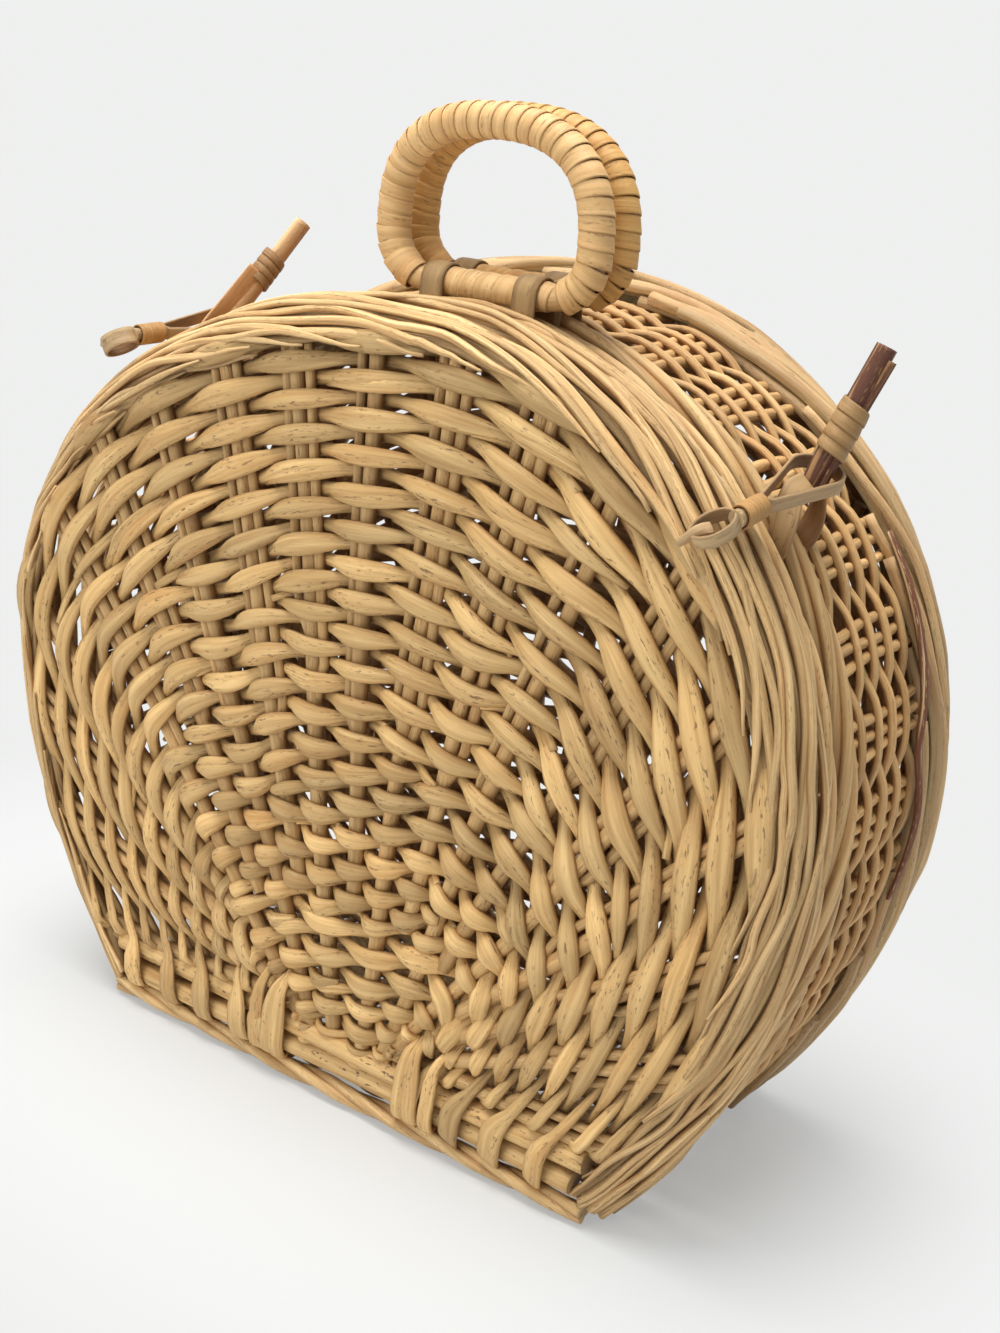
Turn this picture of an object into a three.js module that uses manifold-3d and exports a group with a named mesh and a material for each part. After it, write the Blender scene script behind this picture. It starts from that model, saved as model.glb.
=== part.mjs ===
// Shell-shaped willow storage basket: a deep rear half and a shallow lid that meet at a seam round the side.
// Millimetres. X runs along the bottom edge, Y from the face (-) to the back (+), Z up from the ground.
// Pieces are drawn with the seam at Y = 0, and the whole basket is then moved to be centred front to back.
import * as THREE from "three";
import { mergeVertices } from "three/addons/utils/BufferGeometryUtils.js";
import Module from "manifold-3d";

const wasm = await Module();
wasm.setup();

// Outline of the basket from the front: a D with parabolic flanks and a crown of two quarter ellipses.
const HALF_WIDTH = 165;
const HALF_CHORD = 110;
const WIDEST_HEIGHT = 142;
const CROWN_RISE = 140;
const APEX_X = 28;
const ARCH_STEPS = 48;
const ARCH_SEARCH_STEPS = 1000;

// Depths on each side of the seam, and the woven walls.
const LID_DEPTH = 32;
const BODY_DEPTH = 84;
const SIDE_WALL_END = 62;
const SIDE_TAPER = 1;
const WALL = 7;
const PANEL_THICKNESS = 12.4;
const PANEL_INSET = 11;
const LID_BULGE = 3;
const BACK_BULGE = 1.5;
const SHOULDER = { bulgeFrom: 0.18, bulgeTo: 0.45, turn: 0.72, turnInset: 0.2, lip: 0.92, lipInset: 0.6 };
const GAP = 0.4;

// Rods round the seam and along the bottom.
const RIM_RADIUS = 4.6;
const RIM_Y = 7;
const HINGE_HEIGHT = 6.6;
const FLOOR_TOP = 8.2;
const LID_FLOOR_BOTTOM = 2.6;
const ARCH_FOOT = 9;
const EDGE_RADIUS = 4.4;
const STICK_RADIUS = 4.5;
const STICK_END_GAP = 1;

// Fan of stakes inside each woven panel.
const STAKE_COUNT = 9;
const STAKE_RADIUS = 2.4;
const STAKE_BACKING = 1.8;
const STAKE_START = 26;
const STAKE_END_COVER = 4;
const FAN_X = 12;
const FAN_LOWEST_ANGLE = THREE.MathUtils.degToRad(10);

// Weave in relief: weavers go over and under in turn, in rows round each fan and along the side wall.
const WEAVE_COLUMNS = 18;
const WEAVE_ROWS = 42;
const FINE_ROWS = 8;
const NARROW_ROWS = { count: 4, share: 0.72 };
const WEAVE_RELIEF = 4.2;
const WEAVE_STEP = 0.3;
const WEAVE_MARGIN = 2;
const WEAVE_CROWDING = 0.18;
const FOOT_X = 5.5;
const FOOT_HALF_WIDTH = 24;
const FOOT_SWING = 5.5;
const SIDE_COLUMNS = 30;
const SIDE_ROWS = 8;
const SIDE_ROW_MARGIN = 4.5;
const SIDE_RELIEF = 4.2;

// Cane loops and bark ties.
const STRIP = 1.1;
const HINGE_LOOP_WIDTH = 6;
const HINGE_NOTCH = { depth: 4, side: 1 };
const HINGE_LOOP_SHARES = { left: -0.655, middle: 0, right: 0.655 };
const TIE_WIDTH = 8;
const TIE_REACH = 17;
const TIE_SLACK = 1.1;

// Ring handles.
const HANDLE_X = 32;
const HANDLE_HALF_WIDTH = 36.75;
const HANDLE_RISE = 47.5;
const HANDLE_CORNER = 14;
const HANDLE_LEG = 1.5;
const HANDLE_STEPS = 28;
const HANDLE_CORE_RADIUS = 4;
const WRAP_TURNS = 21;
const WRAP_STEPS = 10;
const WRAP_WIDTH = 3.6;
const WRAP_THICKNESS = 1.2;
const WRAP_MARGIN = 0.055;

// Closures: places are facets of the arch, counted from the right foot. A lean and an eye's place run to
// the back, outward from the rim, and along the rim.
const CLOSURES = {
  right: {
    facet: 15,
    lean: [0.31, 0.78, -0.54],
    shift: 0,
    length: 60,
    binding: 34,
    crossing: 20,
    eye: [-28.5, -5.5, -7.5],
  },
  left: {
    facet: 31,
    lean: [0.58, 0.46, 0.67],
    shift: -2.7,
    length: 74,
    binding: 52,
    crossing: 28,
    eye: [-21, -3.3, 15.3],
  },
};
const TOGGLE_RADIUS = 4.4;
const TOGGLE_NECK_RADIUS = 2.6;
const TOGGLE_NECK_LENGTH = 16;
const TOGGLE_LOOP_WIDTH = 8;
const TOGGLE_LOOP_THICKNESS = 1.4;
const TOGGLE_SLOT = { from: -9.5, to: 20, top: 3, halfWidth: 15 };
const BINDING_TURNS = 4;
const BINDING_PITCH = 3;
const BINDING_WIDTH = 2.2;
const BINDING_THICKNESS = 0.9;
const HASP_EYE_RADIUS = 3.1;
const HASP_EYE_TOP = { rise: 8.1, radius: 2.2 };
const HASP_STRIP = 1.4;
const HASP_EYE_WIDTH = 5;
const HASP_SLOT_RADIUS = 9;
const HASP_STUB_START = { y: 1.9, rise: 11.5 };
const HASP_STUB_RADIUS = 2.4;
const HASP_STUB_LENGTH = 11;
const HASP_LOOP_WIDTH = 4.4;
const HASP_LOOP_NEAR = 1.8;
const HASP_LOOP_FAR = 8.2;
const HASP_NECK_TURNS = 3;
const HASP_NECK_SHIFT = 0.5;

const ROUND = 8;
const X_AXIS = new THREE.Vector3(1, 0, 0);
const Y_AXIS = new THREE.Vector3(0, 1, 0);
const Z_AXIS = new THREE.Vector3(0, 0, 1);

const rimEnd = RIM_Y + RIM_RADIUS + GAP;
const totalHeight = WIDEST_HEIGHT + CROWN_RISE;
const stickFlat = STICK_RADIUS * Math.cos(Math.PI / ROUND);
const stickHeights = [ARCH_FOOT + GAP + stickFlat, ARCH_FOOT + 2 * GAP + 3 * stickFlat];
const panelFoot = ARCH_FOOT + 3 * GAP + 4 * stickFlat;
const fanZ = panelFoot + STAKE_RADIUS;
const handleZ = totalHeight + HANDLE_CORE_RADIUS + GAP;

function willow(color, roughness = 0.62) {
  return new THREE.MeshStandardMaterial({ color, roughness, metalness: 0 });
}
const peeled = () => willow(0xd6b67c);
const fine = () => willow(0xd0ac70);
const tanned = () => willow(0xbf9668);
const cane = () => willow(0xd4a868, 0.5);
const bark = () => willow(0xa2804f, 0.75);

// A three.js geometry as a solid for joining and cutting.
function solidFrom(geometry) {
  const bare = geometry.clone();
  bare.deleteAttribute("normal");
  bare.deleteAttribute("uv");
  const merged = mergeVertices(bare, 1e-4);
  const mesh = new wasm.Mesh({
    numProp: 3,
    vertProperties: merged.attributes.position.array,
    triVerts: new Uint32Array(merged.index.array),
  });
  return new wasm.Manifold(mesh);
}

function geometryFrom(solid) {
  const mesh = solid.getMesh();
  const geometry = new THREE.BufferGeometry();
  geometry.setAttribute("position", new THREE.BufferAttribute(new Float32Array(mesh.vertProperties), 3));
  geometry.setIndex(new THREE.BufferAttribute(new Uint32Array(mesh.triVerts), 1));
  geometry.computeVertexNormals();
  return geometry;
}

function boxSolid(xRange, yRange, zRange, matrix = new THREE.Matrix4()) {
  const sizes = [xRange, yRange, zRange].map(([low, high]) => high - low);
  const middles = [xRange, yRange, zRange].map(([low, high]) => (low + high) / 2);
  return solidFrom(new THREE.BoxGeometry(...sizes).translate(...middles).applyMatrix4(matrix));
}

// Half width of the D on its flanks, and how far the flank leans out per unit of height.
function flankX(z) {
  const fall = 1 - z / WIDEST_HEIGHT;
  return HALF_WIDTH - (HALF_WIDTH - HALF_CHORD) * fall * fall;
}

function flankSlope(z) {
  return (2 * (HALF_WIDTH - HALF_CHORD) * (1 - z / WIDEST_HEIGHT)) / WIDEST_HEIGHT;
}

// The outer edge at the seam, from below the right foot over the crown to below the left foot.
class ArchCurve extends THREE.Curve {
  getPoint(t, target = new THREE.Vector3()) {
    const below = -ARCH_FOOT;
    const stage = 3 * t;
    if (stage <= 1) {
      const z = THREE.MathUtils.lerp(below, WIDEST_HEIGHT, stage);
      return target.set(flankX(z), 0, z);
    }
    if (stage >= 2) {
      const z = THREE.MathUtils.lerp(WIDEST_HEIGHT, below, stage - 2);
      return target.set(-flankX(z), 0, z);
    }
    const angle = Math.PI * (stage - 1);
    const reach = Math.cos(angle) > 0 ? HALF_WIDTH - APEX_X : HALF_WIDTH + APEX_X;
    return target.set(APEX_X + reach * Math.cos(angle), 0, WIDEST_HEIGHT + CROWN_RISE * Math.sin(angle));
  }
}
const archCurve = new ArchCurve();
const archPoints = archCurve.getSpacedPoints(ARCH_STEPS);
const archOutward = archCurve.computeFrenetFrames(ARCH_STEPS, false).binormals;

// A section given as [y, inset] pairs, carried round the arch and cut off level above its foot.
function archGeometry(section, foot, cuts = []) {
  const shape = new THREE.Shape(section.map(([y, inset]) => new THREE.Vector2(-y, -inset)));
  const swept = new THREE.ExtrudeGeometry(shape, {
    extrudePath: archCurve,
    steps: ARCH_STEPS,
    bevelEnabled: false,
  });
  const span = 2 * HALF_WIDTH;
  const ground = boxSolid([-span, span], [-span, span], [-span, foot]);
  return geometryFrom(cuts.reduce((solid, cut) => solid.subtract(cut), solidFrom(swept).subtract(ground)));
}

function roundSection(y, inset, radius) {
  return Array.from({ length: ROUND }, (_, i) => {
    const angle = (2 * Math.PI * (i + 0.5)) / ROUND;
    return [y + radius * Math.cos(angle), inset + radius * Math.sin(angle)];
  });
}

// A shoulder that bulges past the seam line and rounds over to the panel's edge.
function shoulderSection(start, end, bulge, startInset) {
  const depth = Math.abs(end - start);
  const side = Math.sign(end - start);
  const panelInner = end - side * (PANEL_THICKNESS + GAP);
  return [
    [start, startInset],
    [start + side * SHOULDER.bulgeFrom * depth, -bulge],
    [start + side * SHOULDER.bulgeTo * depth, -bulge],
    [start + side * SHOULDER.turn * depth, SHOULDER.turnInset * PANEL_INSET],
    [start + side * SHOULDER.lip * depth, SHOULDER.lipInset * PANEL_INSET],
    [end, PANEL_INSET],
    [panelInner, PANEL_INSET],
    [panelInner, startInset + WALL],
    [start, startInset + WALL],
  ];
}

function outline(inset) {
  return archPoints.map((point, i) => {
    const out = archOutward[i];
    return new THREE.Vector2(point.x - inset * out.x, point.z - inset * out.z);
  });
}

// Distance from the fan's middle to an inset outline, along one stake.
function fanReach(angle, inset) {
  const direction = new THREE.Vector2(Math.cos(angle), Math.sin(angle));
  const middle = new THREE.Vector2(FAN_X, fanZ);
  const points = outline(inset).map((point) => point.sub(middle));
  for (let i = 0; i + 1 < points.length; i++) {
    const before = direction.cross(points[i]);
    const after = direction.cross(points[i + 1]);
    if (before < 0 && after >= 0) {
      return points[i].clone().lerp(points[i + 1], before / (before - after)).dot(direction);
    }
  }
  throw new Error("a stake misses the outline");
}

function rodGeometry(start, end, startRadius, endRadius = startRadius) {
  const along = end.clone().sub(start);
  const geometry = new THREE.CylinderGeometry(endRadius, startRadius, along.length(), ROUND);
  geometry.rotateY(Math.PI / ROUND);
  geometry.applyQuaternion(new THREE.Quaternion().setFromUnitVectors(Y_AXIS, along.clone().normalize()));
  const middle = start.clone().add(end).multiplyScalar(0.5);
  return geometry.translate(middle.x, middle.y, middle.z);
}

function stakeGeometry(angle, y, radius, from, to) {
  const along = new THREE.Vector3(Math.cos(angle), 0, Math.sin(angle));
  const middle = new THREE.Vector3(FAN_X, y, fanZ);
  const start = middle.clone().addScaledVector(along, from);
  return rodGeometry(start, middle.addScaledVector(along, to), radius);
}

const stakeAngles = Array.from({ length: STAKE_COUNT }, (_, i) => {
  return THREE.MathUtils.lerp(FAN_LOWEST_ANGLE, Math.PI - FAN_LOWEST_ANGLE, i / (STAKE_COUNT - 1));
});

// A closed slab between an outer and an inner grid of points, given as columns of equal length.
function slabGeometry(outer, inner) {
  const rows = outer[0].length;
  const last = outer.length - 1;
  const half = outer.length * rows;
  const at = (column, row) => column * rows + row;
  const index = [];
  const wall = (a, b) => index.push(a, b, half + b, a, half + b, half + a);
  for (let i = 0; i < last; i++) {
    for (let k = 0; k + 1 < rows; k++) {
      const [a, b, c, d] = [at(i, k), at(i, k + 1), at(i + 1, k + 1), at(i + 1, k)];
      index.push(a, b, c, a, c, d);
      index.push(half + a, half + c, half + b, half + a, half + d, half + c);
    }
    wall(at(i, 0), at(i + 1, 0));
    wall(at(i + 1, rows - 1), at(i, rows - 1));
  }
  for (let k = 0; k + 1 < rows; k++) {
    wall(at(0, k + 1), at(0, k));
    wall(at(last, k), at(last, k + 1));
  }
  const geometry = new THREE.BufferGeometry().setFromPoints([...outer.flat(), ...inner.flat()]);
  geometry.setIndex(index);
  return geometry;
}

// The arch at a share of its length, moved in towards the panel.
function archInset(share, inset) {
  const tangent = archCurve.getTangentAt(share);
  const point = archCurve.getPointAt(share);
  return new THREE.Vector2(point.x - inset * tangent.z, point.z + inset * tangent.x);
}

// Share of the arch at which its inset line has risen to a height on the right flank.
function archShareAt(height, inset) {
  const step = 1 / ARCH_SEARCH_STEPS;
  let share = 0;
  while (archInset(share, inset).y < height) {
    share += step;
  }
  return share;
}

// Middles of the rows from the fan's foot (0) to the panel's edge (1): the first rows are narrower.
function rowMiddles() {
  const widthOf = (k) => (k < NARROW_ROWS.count ? NARROW_ROWS.share : 1);
  const widths = Array.from({ length: WEAVE_ROWS }, (_, k) => widthOf(k));
  const total = widths.reduce((sum, width) => sum + width);
  let start = 0;
  return widths.map((width) => {
    start += width;
    return (start - width / 2) / total;
  });
}

// The weavers of a panel: each row goes over and under the columns in turn, and the fine rows near the
// fan's foot take two columns together.
function panelReliefGeometry(side, depth) {
  const inset = PANEL_INSET + GAP + WEAVE_MARGIN;
  const foot = panelFoot + WEAVE_MARGIN;
  const lowest = archShareAt(foot, inset);
  const reaches = [0, ...rowMiddles(), 1];
  const buried = depth - PANEL_THICKNESS + STAKE_BACKING;
  const outer = [];
  const inner = [];
  for (let i = 0; i <= WEAVE_COLUMNS; i++) {
    const share = i / WEAVE_COLUMNS;
    const spread = share + (WEAVE_CROWDING * Math.sin(2 * Math.PI * share)) / (2 * Math.PI);
    const start = new THREE.Vector2(FOOT_X + FOOT_HALF_WIDTH * Math.tanh(FOOT_SWING * (0.5 - share)), foot);
    const end = archInset(THREE.MathUtils.lerp(lowest, 1 - lowest, spread), inset);
    const places = reaches.map((reach) => start.clone().lerp(end, reach));
    const border = (k) => i === 0 || i === WEAVE_COLUMNS || k === 0 || k === reaches.length - 1;
    const swing = (row) => Math.cos(Math.PI * (row + (row < FINE_ROWS ? i / 2 : i)));
    const sink = (k) => (WEAVE_RELIEF * (1 - (border(k) ? -1 : swing(k - 1)))) / 2;
    outer.push(places.map((place, k) => new THREE.Vector3(place.x, side * (depth - sink(k)), place.y)));
    inner.push(places.map((place) => new THREE.Vector3(place.x, side * buried, place.y)));
  }
  return side < 0 ? slabGeometry(outer, inner) : slabGeometry(outer.reverse(), inner.reverse());
}

function stakeY(side, depth) {
  return side * (depth - PANEL_THICKNESS + STAKE_BACKING + STAKE_RADIUS + GAP);
}

// A woven panel inside its shoulder, bored along the fan of stakes that it is woven on.
function panelGeometry(side, depth) {
  const shape = new THREE.Shape(outline(PANEL_INSET + GAP));
  const thickness = PANEL_THICKNESS - WEAVE_RELIEF - WEAVE_STEP;
  const plate = new THREE.ExtrudeGeometry(shape, { depth: thickness, bevelEnabled: false });
  const plateY = side * (depth - PANEL_THICKNESS + thickness / 2);
  plate.rotateX(Math.PI / 2).translate(0, plateY + thickness / 2, 0);
  const span = 2 * HALF_WIDTH;
  const bores = stakeAngles.map((angle) => {
    const end = fanReach(angle, PANEL_INSET) - STAKE_END_COVER + GAP;
    return solidFrom(stakeGeometry(angle, stakeY(side, depth), STAKE_RADIUS + GAP, 0, end));
  });
  const ground = boxSolid([-span, span], [-span, span], [-span, panelFoot]);
  const woven = solidFrom(plate).subtract(ground).add(solidFrom(panelReliefGeometry(side, depth)));
  return geometryFrom(bores.reduce((solid, bore) => solid.subtract(bore), woven));
}

// The side wall: rows along the depth that go over and under in turn round the arch, on an even inner face.
function sideWallGeometry(cuts) {
  const first = rimEnd + SIDE_ROW_MARGIN;
  const rowStep = (SIDE_WALL_END - SIDE_ROW_MARGIN - first) / (SIDE_ROWS - 1);
  const rows = Array.from({ length: SIDE_ROWS }, (_, k) => first + k * rowStep);
  const lines = [rimEnd, ...rows, SIDE_WALL_END];
  const outer = [];
  const inner = [];
  for (let i = 0; i <= SIDE_COLUMNS; i++) {
    const share = i / SIDE_COLUMNS;
    const point = (y, inset) => {
      const place = archInset(share, inset);
      return new THREE.Vector3(place.x, y, place.y);
    };
    const taper = (y) => (SIDE_TAPER * (y - rimEnd)) / (SIDE_WALL_END - rimEnd);
    const border = (k) => k === 0 || k === lines.length - 1;
    const sink = (k) => (border(k) ? SIDE_RELIEF / 2 : ((i + k) % 2) * SIDE_RELIEF);
    outer.push(lines.map((y, k) => point(y, taper(y) + sink(k))));
    inner.push(lines.map((y) => point(y, taper(y) + WALL)));
  }
  const span = 2 * HALF_WIDTH;
  const ground = boxSolid([-span, span], [-span, span], [-span, ARCH_FOOT]);
  const wall = solidFrom(slabGeometry(outer, inner)).subtract(ground);
  return geometryFrom(cuts.reduce((solid, cut) => solid.subtract(cut), wall));
}

function barGeometry(halfLength, y, z, radius) {
  return rodGeometry(new THREE.Vector3(-halfLength, y, z), new THREE.Vector3(halfLength, y, z), radius);
}

function stickHalfLength(z) {
  const low = z - STICK_RADIUS;
  return flankX(low) - (PANEL_INSET + GAP) * Math.hypot(1, flankSlope(low)) - STICK_END_GAP;
}

// The outer line of two circles joined by their tangents.
function linkPath(Path, first, firstRadius, second, secondRadius) {
  const along = first.clone().sub(second);
  const heading = along.angle();
  const tilt = Math.asin((secondRadius - firstRadius) / along.length());
  const path = new Path();
  const right = heading - Math.PI / 2 + tilt;
  const left = heading + Math.PI / 2 - tilt;
  path.absarc(first.x, first.y, firstRadius, right, left, false);
  path.absarc(second.x, second.y, secondRadius, left, right + 2 * Math.PI, false);
  path.closePath();
  return path;
}

// A strip bent into a link round two circles, in the plane of a matrix's first two axes.
function linkGeometry(link, thickness, width, matrix, hollow = true) {
  const grow = (extra) => [link.first, link.firstRadius + extra, link.second, link.secondRadius + extra];
  const shape = linkPath(THREE.Shape, ...grow(thickness));
  if (hollow) {
    shape.holes.push(linkPath(THREE.Path, ...grow(0)));
  }
  const strip = new THREE.ExtrudeGeometry(shape, { depth: width, bevelEnabled: false, curveSegments: 5 });
  return strip.translate(0, 0, -width / 2).applyMatrix4(matrix);
}

// A plane across X, with its first axis along Y and its second along Z.
function crossPlane(x) {
  return new THREE.Matrix4().makeBasis(Y_AXIS, Z_AXIS, X_AXIS).setPosition(x, 0, 0);
}

// A flat strip wound round a curve: one unbroken closed tube. It prints its least gap to itself.
function windingGeometry(name, curve, range, core, turns, steps, width, thickness) {
  const count = turns * steps;
  const sag = (core + GAP) * (1 / Math.cos(Math.PI / steps) - 1);
  const radius = core + GAP + sag + thickness / 2;
  const centres = [];
  const outwards = [];
  for (let i = 0; i <= count; i++) {
    const t = THREE.MathUtils.lerp(range[0], range[1], i / count);
    const tangent = curve.getTangentAt(t);
    const reference = Math.abs(tangent.y) < 0.9 ? Y_AXIS : X_AXIS;
    const across = new THREE.Vector3().crossVectors(tangent, reference).normalize();
    const other = new THREE.Vector3().crossVectors(across, tangent);
    const turn = (2 * Math.PI * i) / steps;
    const out = across.multiplyScalar(Math.cos(turn)).addScaledVector(other, Math.sin(turn));
    outwards.push(out);
    centres.push(curve.getPointAt(t).addScaledVector(out, radius));
  }
  const rings = centres.map((centre, i) => {
    const before = centres[Math.max(i - 1, 0)];
    const after = centres[Math.min(i + 1, count)];
    const along = after.clone().sub(before).normalize();
    const across = new THREE.Vector3().crossVectors(along, outwards[i]).normalize();
    const out = new THREE.Vector3().crossVectors(across, along).normalize();
    return [[-1, -1], [-1, 1], [1, 1], [1, -1]].map(([a, b]) => {
      const corner = centre.clone().addScaledVector(across, (a * width) / 2);
      return corner.addScaledVector(out, (b * thickness) / 2);
    });
  });
  let least = Infinity;
  for (let i = 0; i < rings.length; i++) {
    for (let j = i + Math.ceil(steps / 2); j < rings.length; j++) {
      for (const a of rings[i]) {
        for (const b of rings[j]) {
          least = Math.min(least, a.distanceTo(b));
        }
      }
    }
  }
  console.log(name + ": least gap between turns " + least.toFixed(2) + " mm");
  const sides = rings[0].length;
  const index = [];
  for (let i = 0; i < count; i++) {
    for (let k = 0; k < sides; k++) {
      const a = i * sides + k;
      const b = i * sides + ((k + 1) % sides);
      index.push(a, b, b + sides, a, b + sides, a + sides);
    }
  }
  const last = count * sides;
  index.push(0, 2, 1, 0, 3, 2, last, last + 1, last + 2, last, last + 2, last + 3);
  const geometry = new THREE.BufferGeometry().setFromPoints(rings.flat());
  geometry.setIndex(index);
  geometry.computeVertexNormals();
  return geometry;
}

// A curve drawn in a plane across Y.
class UprightCurve extends THREE.Curve {
  constructor(path, origin) {
    super();
    this.path = path;
    this.origin = origin;
  }

  getPoint(t, target = new THREE.Vector3()) {
    const point = this.path.getPointAt(t);
    return target.set(this.origin.x + point.x, this.origin.y, this.origin.z + point.y);
  }
}

function handleArch(y) {
  const corner = HANDLE_HALF_WIDTH - HANDLE_CORNER;
  const legTop = HANDLE_CORNER + HANDLE_LEG;
  const path = new THREE.Path();
  path.absarc(corner, HANDLE_CORNER, HANDLE_CORNER, -Math.PI / 2, 0, false);
  path.lineTo(HANDLE_HALF_WIDTH, legTop);
  path.absellipse(0, legTop, HANDLE_HALF_WIDTH, HANDLE_RISE - legTop, 0, Math.PI, false, 0);
  path.lineTo(-HANDLE_HALF_WIDTH, HANDLE_CORNER);
  path.absarc(-corner, HANDLE_CORNER, HANDLE_CORNER, Math.PI, 1.5 * Math.PI, false);
  return new UprightCurve(path, new THREE.Vector3(HANDLE_X, y, handleZ));
}

// The handle's rod: an arch with rounded corners, closed by a straight bar along the rim.
function handleCoreGeometry(y) {
  const section = roundSection(0, 0, HANDLE_CORE_RADIUS).map(([a, b]) => new THREE.Vector2(a, b));
  const arch = new THREE.ExtrudeGeometry(new THREE.Shape(section), {
    extrudePath: handleArch(y),
    steps: HANDLE_STEPS,
    bevelEnabled: false,
  });
  const lap = 1;
  const reach = HANDLE_HALF_WIDTH - HANDLE_CORNER + lap;
  const bar = barGeometry(reach, y, handleZ, HANDLE_CORE_RADIUS).translate(HANDLE_X, 0, 0);
  return geometryFrom(solidFrom(arch).add(solidFrom(bar)));
}

// Height of the rim's outer edge under the handle.
function rimHeight(x) {
  const reach = x > APEX_X ? HALF_WIDTH - APEX_X : HALF_WIDTH + APEX_X;
  return WIDEST_HEIGHT + CROWN_RISE * Math.sqrt(1 - ((x - APEX_X) / reach) ** 2);
}

function tieLink(x, y) {
  return {
    first: new THREE.Vector2(y, handleZ),
    firstRadius: HANDLE_CORE_RADIUS + GAP,
    second: new THREE.Vector2(y, rimHeight(x) - RIM_RADIUS),
    secondRadius: RIM_RADIUS + TIE_SLACK,
  };
}

const tiePlaces = { left: HANDLE_X - TIE_REACH, right: HANDLE_X + TIE_REACH };

function tieSlots(y) {
  return Object.values(tiePlaces).map((x) => {
    return solidFrom(linkGeometry(tieLink(x, y), STRIP + GAP, TIE_WIDTH + 2 * GAP, crossPlane(x), false));
  });
}

// A closure's own frame: first axis to the back, second outward from the rim, third along the rim.
function closureFrame(facet) {
  const along = archPoints[facet + 1].clone().sub(archPoints[facet]).normalize();
  const outward = new THREE.Vector3(along.z, 0, -along.x);
  const middle = archPoints[facet].clone().add(archPoints[facet + 1]).multiplyScalar(0.5);
  const third = new THREE.Vector3().crossVectors(Y_AXIS, outward);
  return new THREE.Matrix4().makeBasis(Y_AXIS, outward, third).setPosition(middle);
}

function toggleBase(closure) {
  return new THREE.Vector3(RIM_Y, -RIM_RADIUS, closure.shift);
}

function toggleAlong(closure) {
  return new THREE.Vector3(...closure.lean).normalize();
}

function togglePoint(closure, distance) {
  return toggleBase(closure).addScaledVector(toggleAlong(closure), distance);
}

function ringGeometry(centre, inner, outer, width) {
  const shape = new THREE.Shape().absarc(centre.x, centre.y, outer, 0, 2 * Math.PI, false);
  shape.holes.push(new THREE.Path().absarc(centre.x, centre.y, inner, 0, 2 * Math.PI, true));
  const ring = new THREE.ExtrudeGeometry(shape, { depth: width, bevelEnabled: false, curveSegments: 8 });
  return ring.translate(0, 0, centre.z - width / 2);
}

// The toggle: a stick shaved thin at its foot, where it loops round the rim border of the rear half.
function toggleGeometry(closure) {
  const bore = RIM_RADIUS + GAP;
  const outer = bore + TOGGLE_LOOP_THICKNESS;
  const ring = ringGeometry(toggleBase(closure), bore, outer, TOGGLE_LOOP_WIDTH);
  const lap = 0.5;
  const neckEnd = togglePoint(closure, TOGGLE_NECK_LENGTH);
  const neck = rodGeometry(togglePoint(closure, bore), neckEnd, TOGGLE_NECK_RADIUS);
  const stickStart = togglePoint(closure, TOGGLE_NECK_LENGTH - lap);
  const stick = rodGeometry(stickStart, togglePoint(closure, closure.length), TOGGLE_RADIUS);
  const rimPassage = rodGeometry(
    toggleBase(closure).addScaledVector(Z_AXIS, -3 * TOGGLE_LOOP_WIDTH),
    toggleBase(closure).addScaledVector(Z_AXIS, 3 * TOGGLE_LOOP_WIDTH),
    bore / Math.cos(Math.PI / ROUND),
  );
  const solid = solidFrom(neck).subtract(solidFrom(rimPassage)).add(solidFrom(ring)).add(solidFrom(stick));
  return geometryFrom(solid).applyMatrix4(closureFrame(closure.facet));
}

function toggleBindingGeometry(name, closure) {
  const half = (BINDING_TURNS * BINDING_PITCH) / 2;
  const curve = new THREE.LineCurve3(
    togglePoint(closure, closure.binding - half),
    togglePoint(closure, closure.binding + half),
  );
  const core = TOGGLE_RADIUS;
  const turns = BINDING_TURNS;
  const strip = [BINDING_WIDTH, BINDING_THICKNESS];
  const winding = windingGeometry(name, curve, [0, 1], core, turns, WRAP_STEPS, ...strip);
  return winding.applyMatrix4(closureFrame(closure.facet));
}

function haspEye(closure) {
  return new THREE.Vector3(...closure.eye);
}

function haspStubStart(closure) {
  return haspEye(closure).add(new THREE.Vector3(HASP_STUB_START.y, HASP_STUB_START.rise, 0));
}

function haspAlong(closure) {
  return togglePoint(closure, closure.crossing).sub(haspStubStart(closure)).normalize();
}

function haspPoint(closure, distance) {
  return haspStubStart(closure).addScaledVector(haspAlong(closure), distance);
}

// The hasp's eye goes round a few strands of the lid's edge, and carries the stub of the doubled strip.
function haspEyeGeometry(closure) {
  const place = haspEye(closure);
  const link = {
    first: new THREE.Vector2(place.x, place.y + HASP_EYE_TOP.rise),
    firstRadius: HASP_EYE_TOP.radius,
    second: new THREE.Vector2(place.x, place.y),
    secondRadius: HASP_EYE_RADIUS,
  };
  const plane = new THREE.Matrix4().makeTranslation(0, 0, place.z);
  const eye = linkGeometry(link, HASP_STRIP, HASP_EYE_WIDTH, plane);
  const lap = 1;
  const stub = rodGeometry(haspPoint(closure, -lap), haspPoint(closure, HASP_STUB_LENGTH), HASP_STUB_RADIUS);
  return geometryFrom(solidFrom(eye).add(solidFrom(stub))).applyMatrix4(closureFrame(closure.facet));
}

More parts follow.
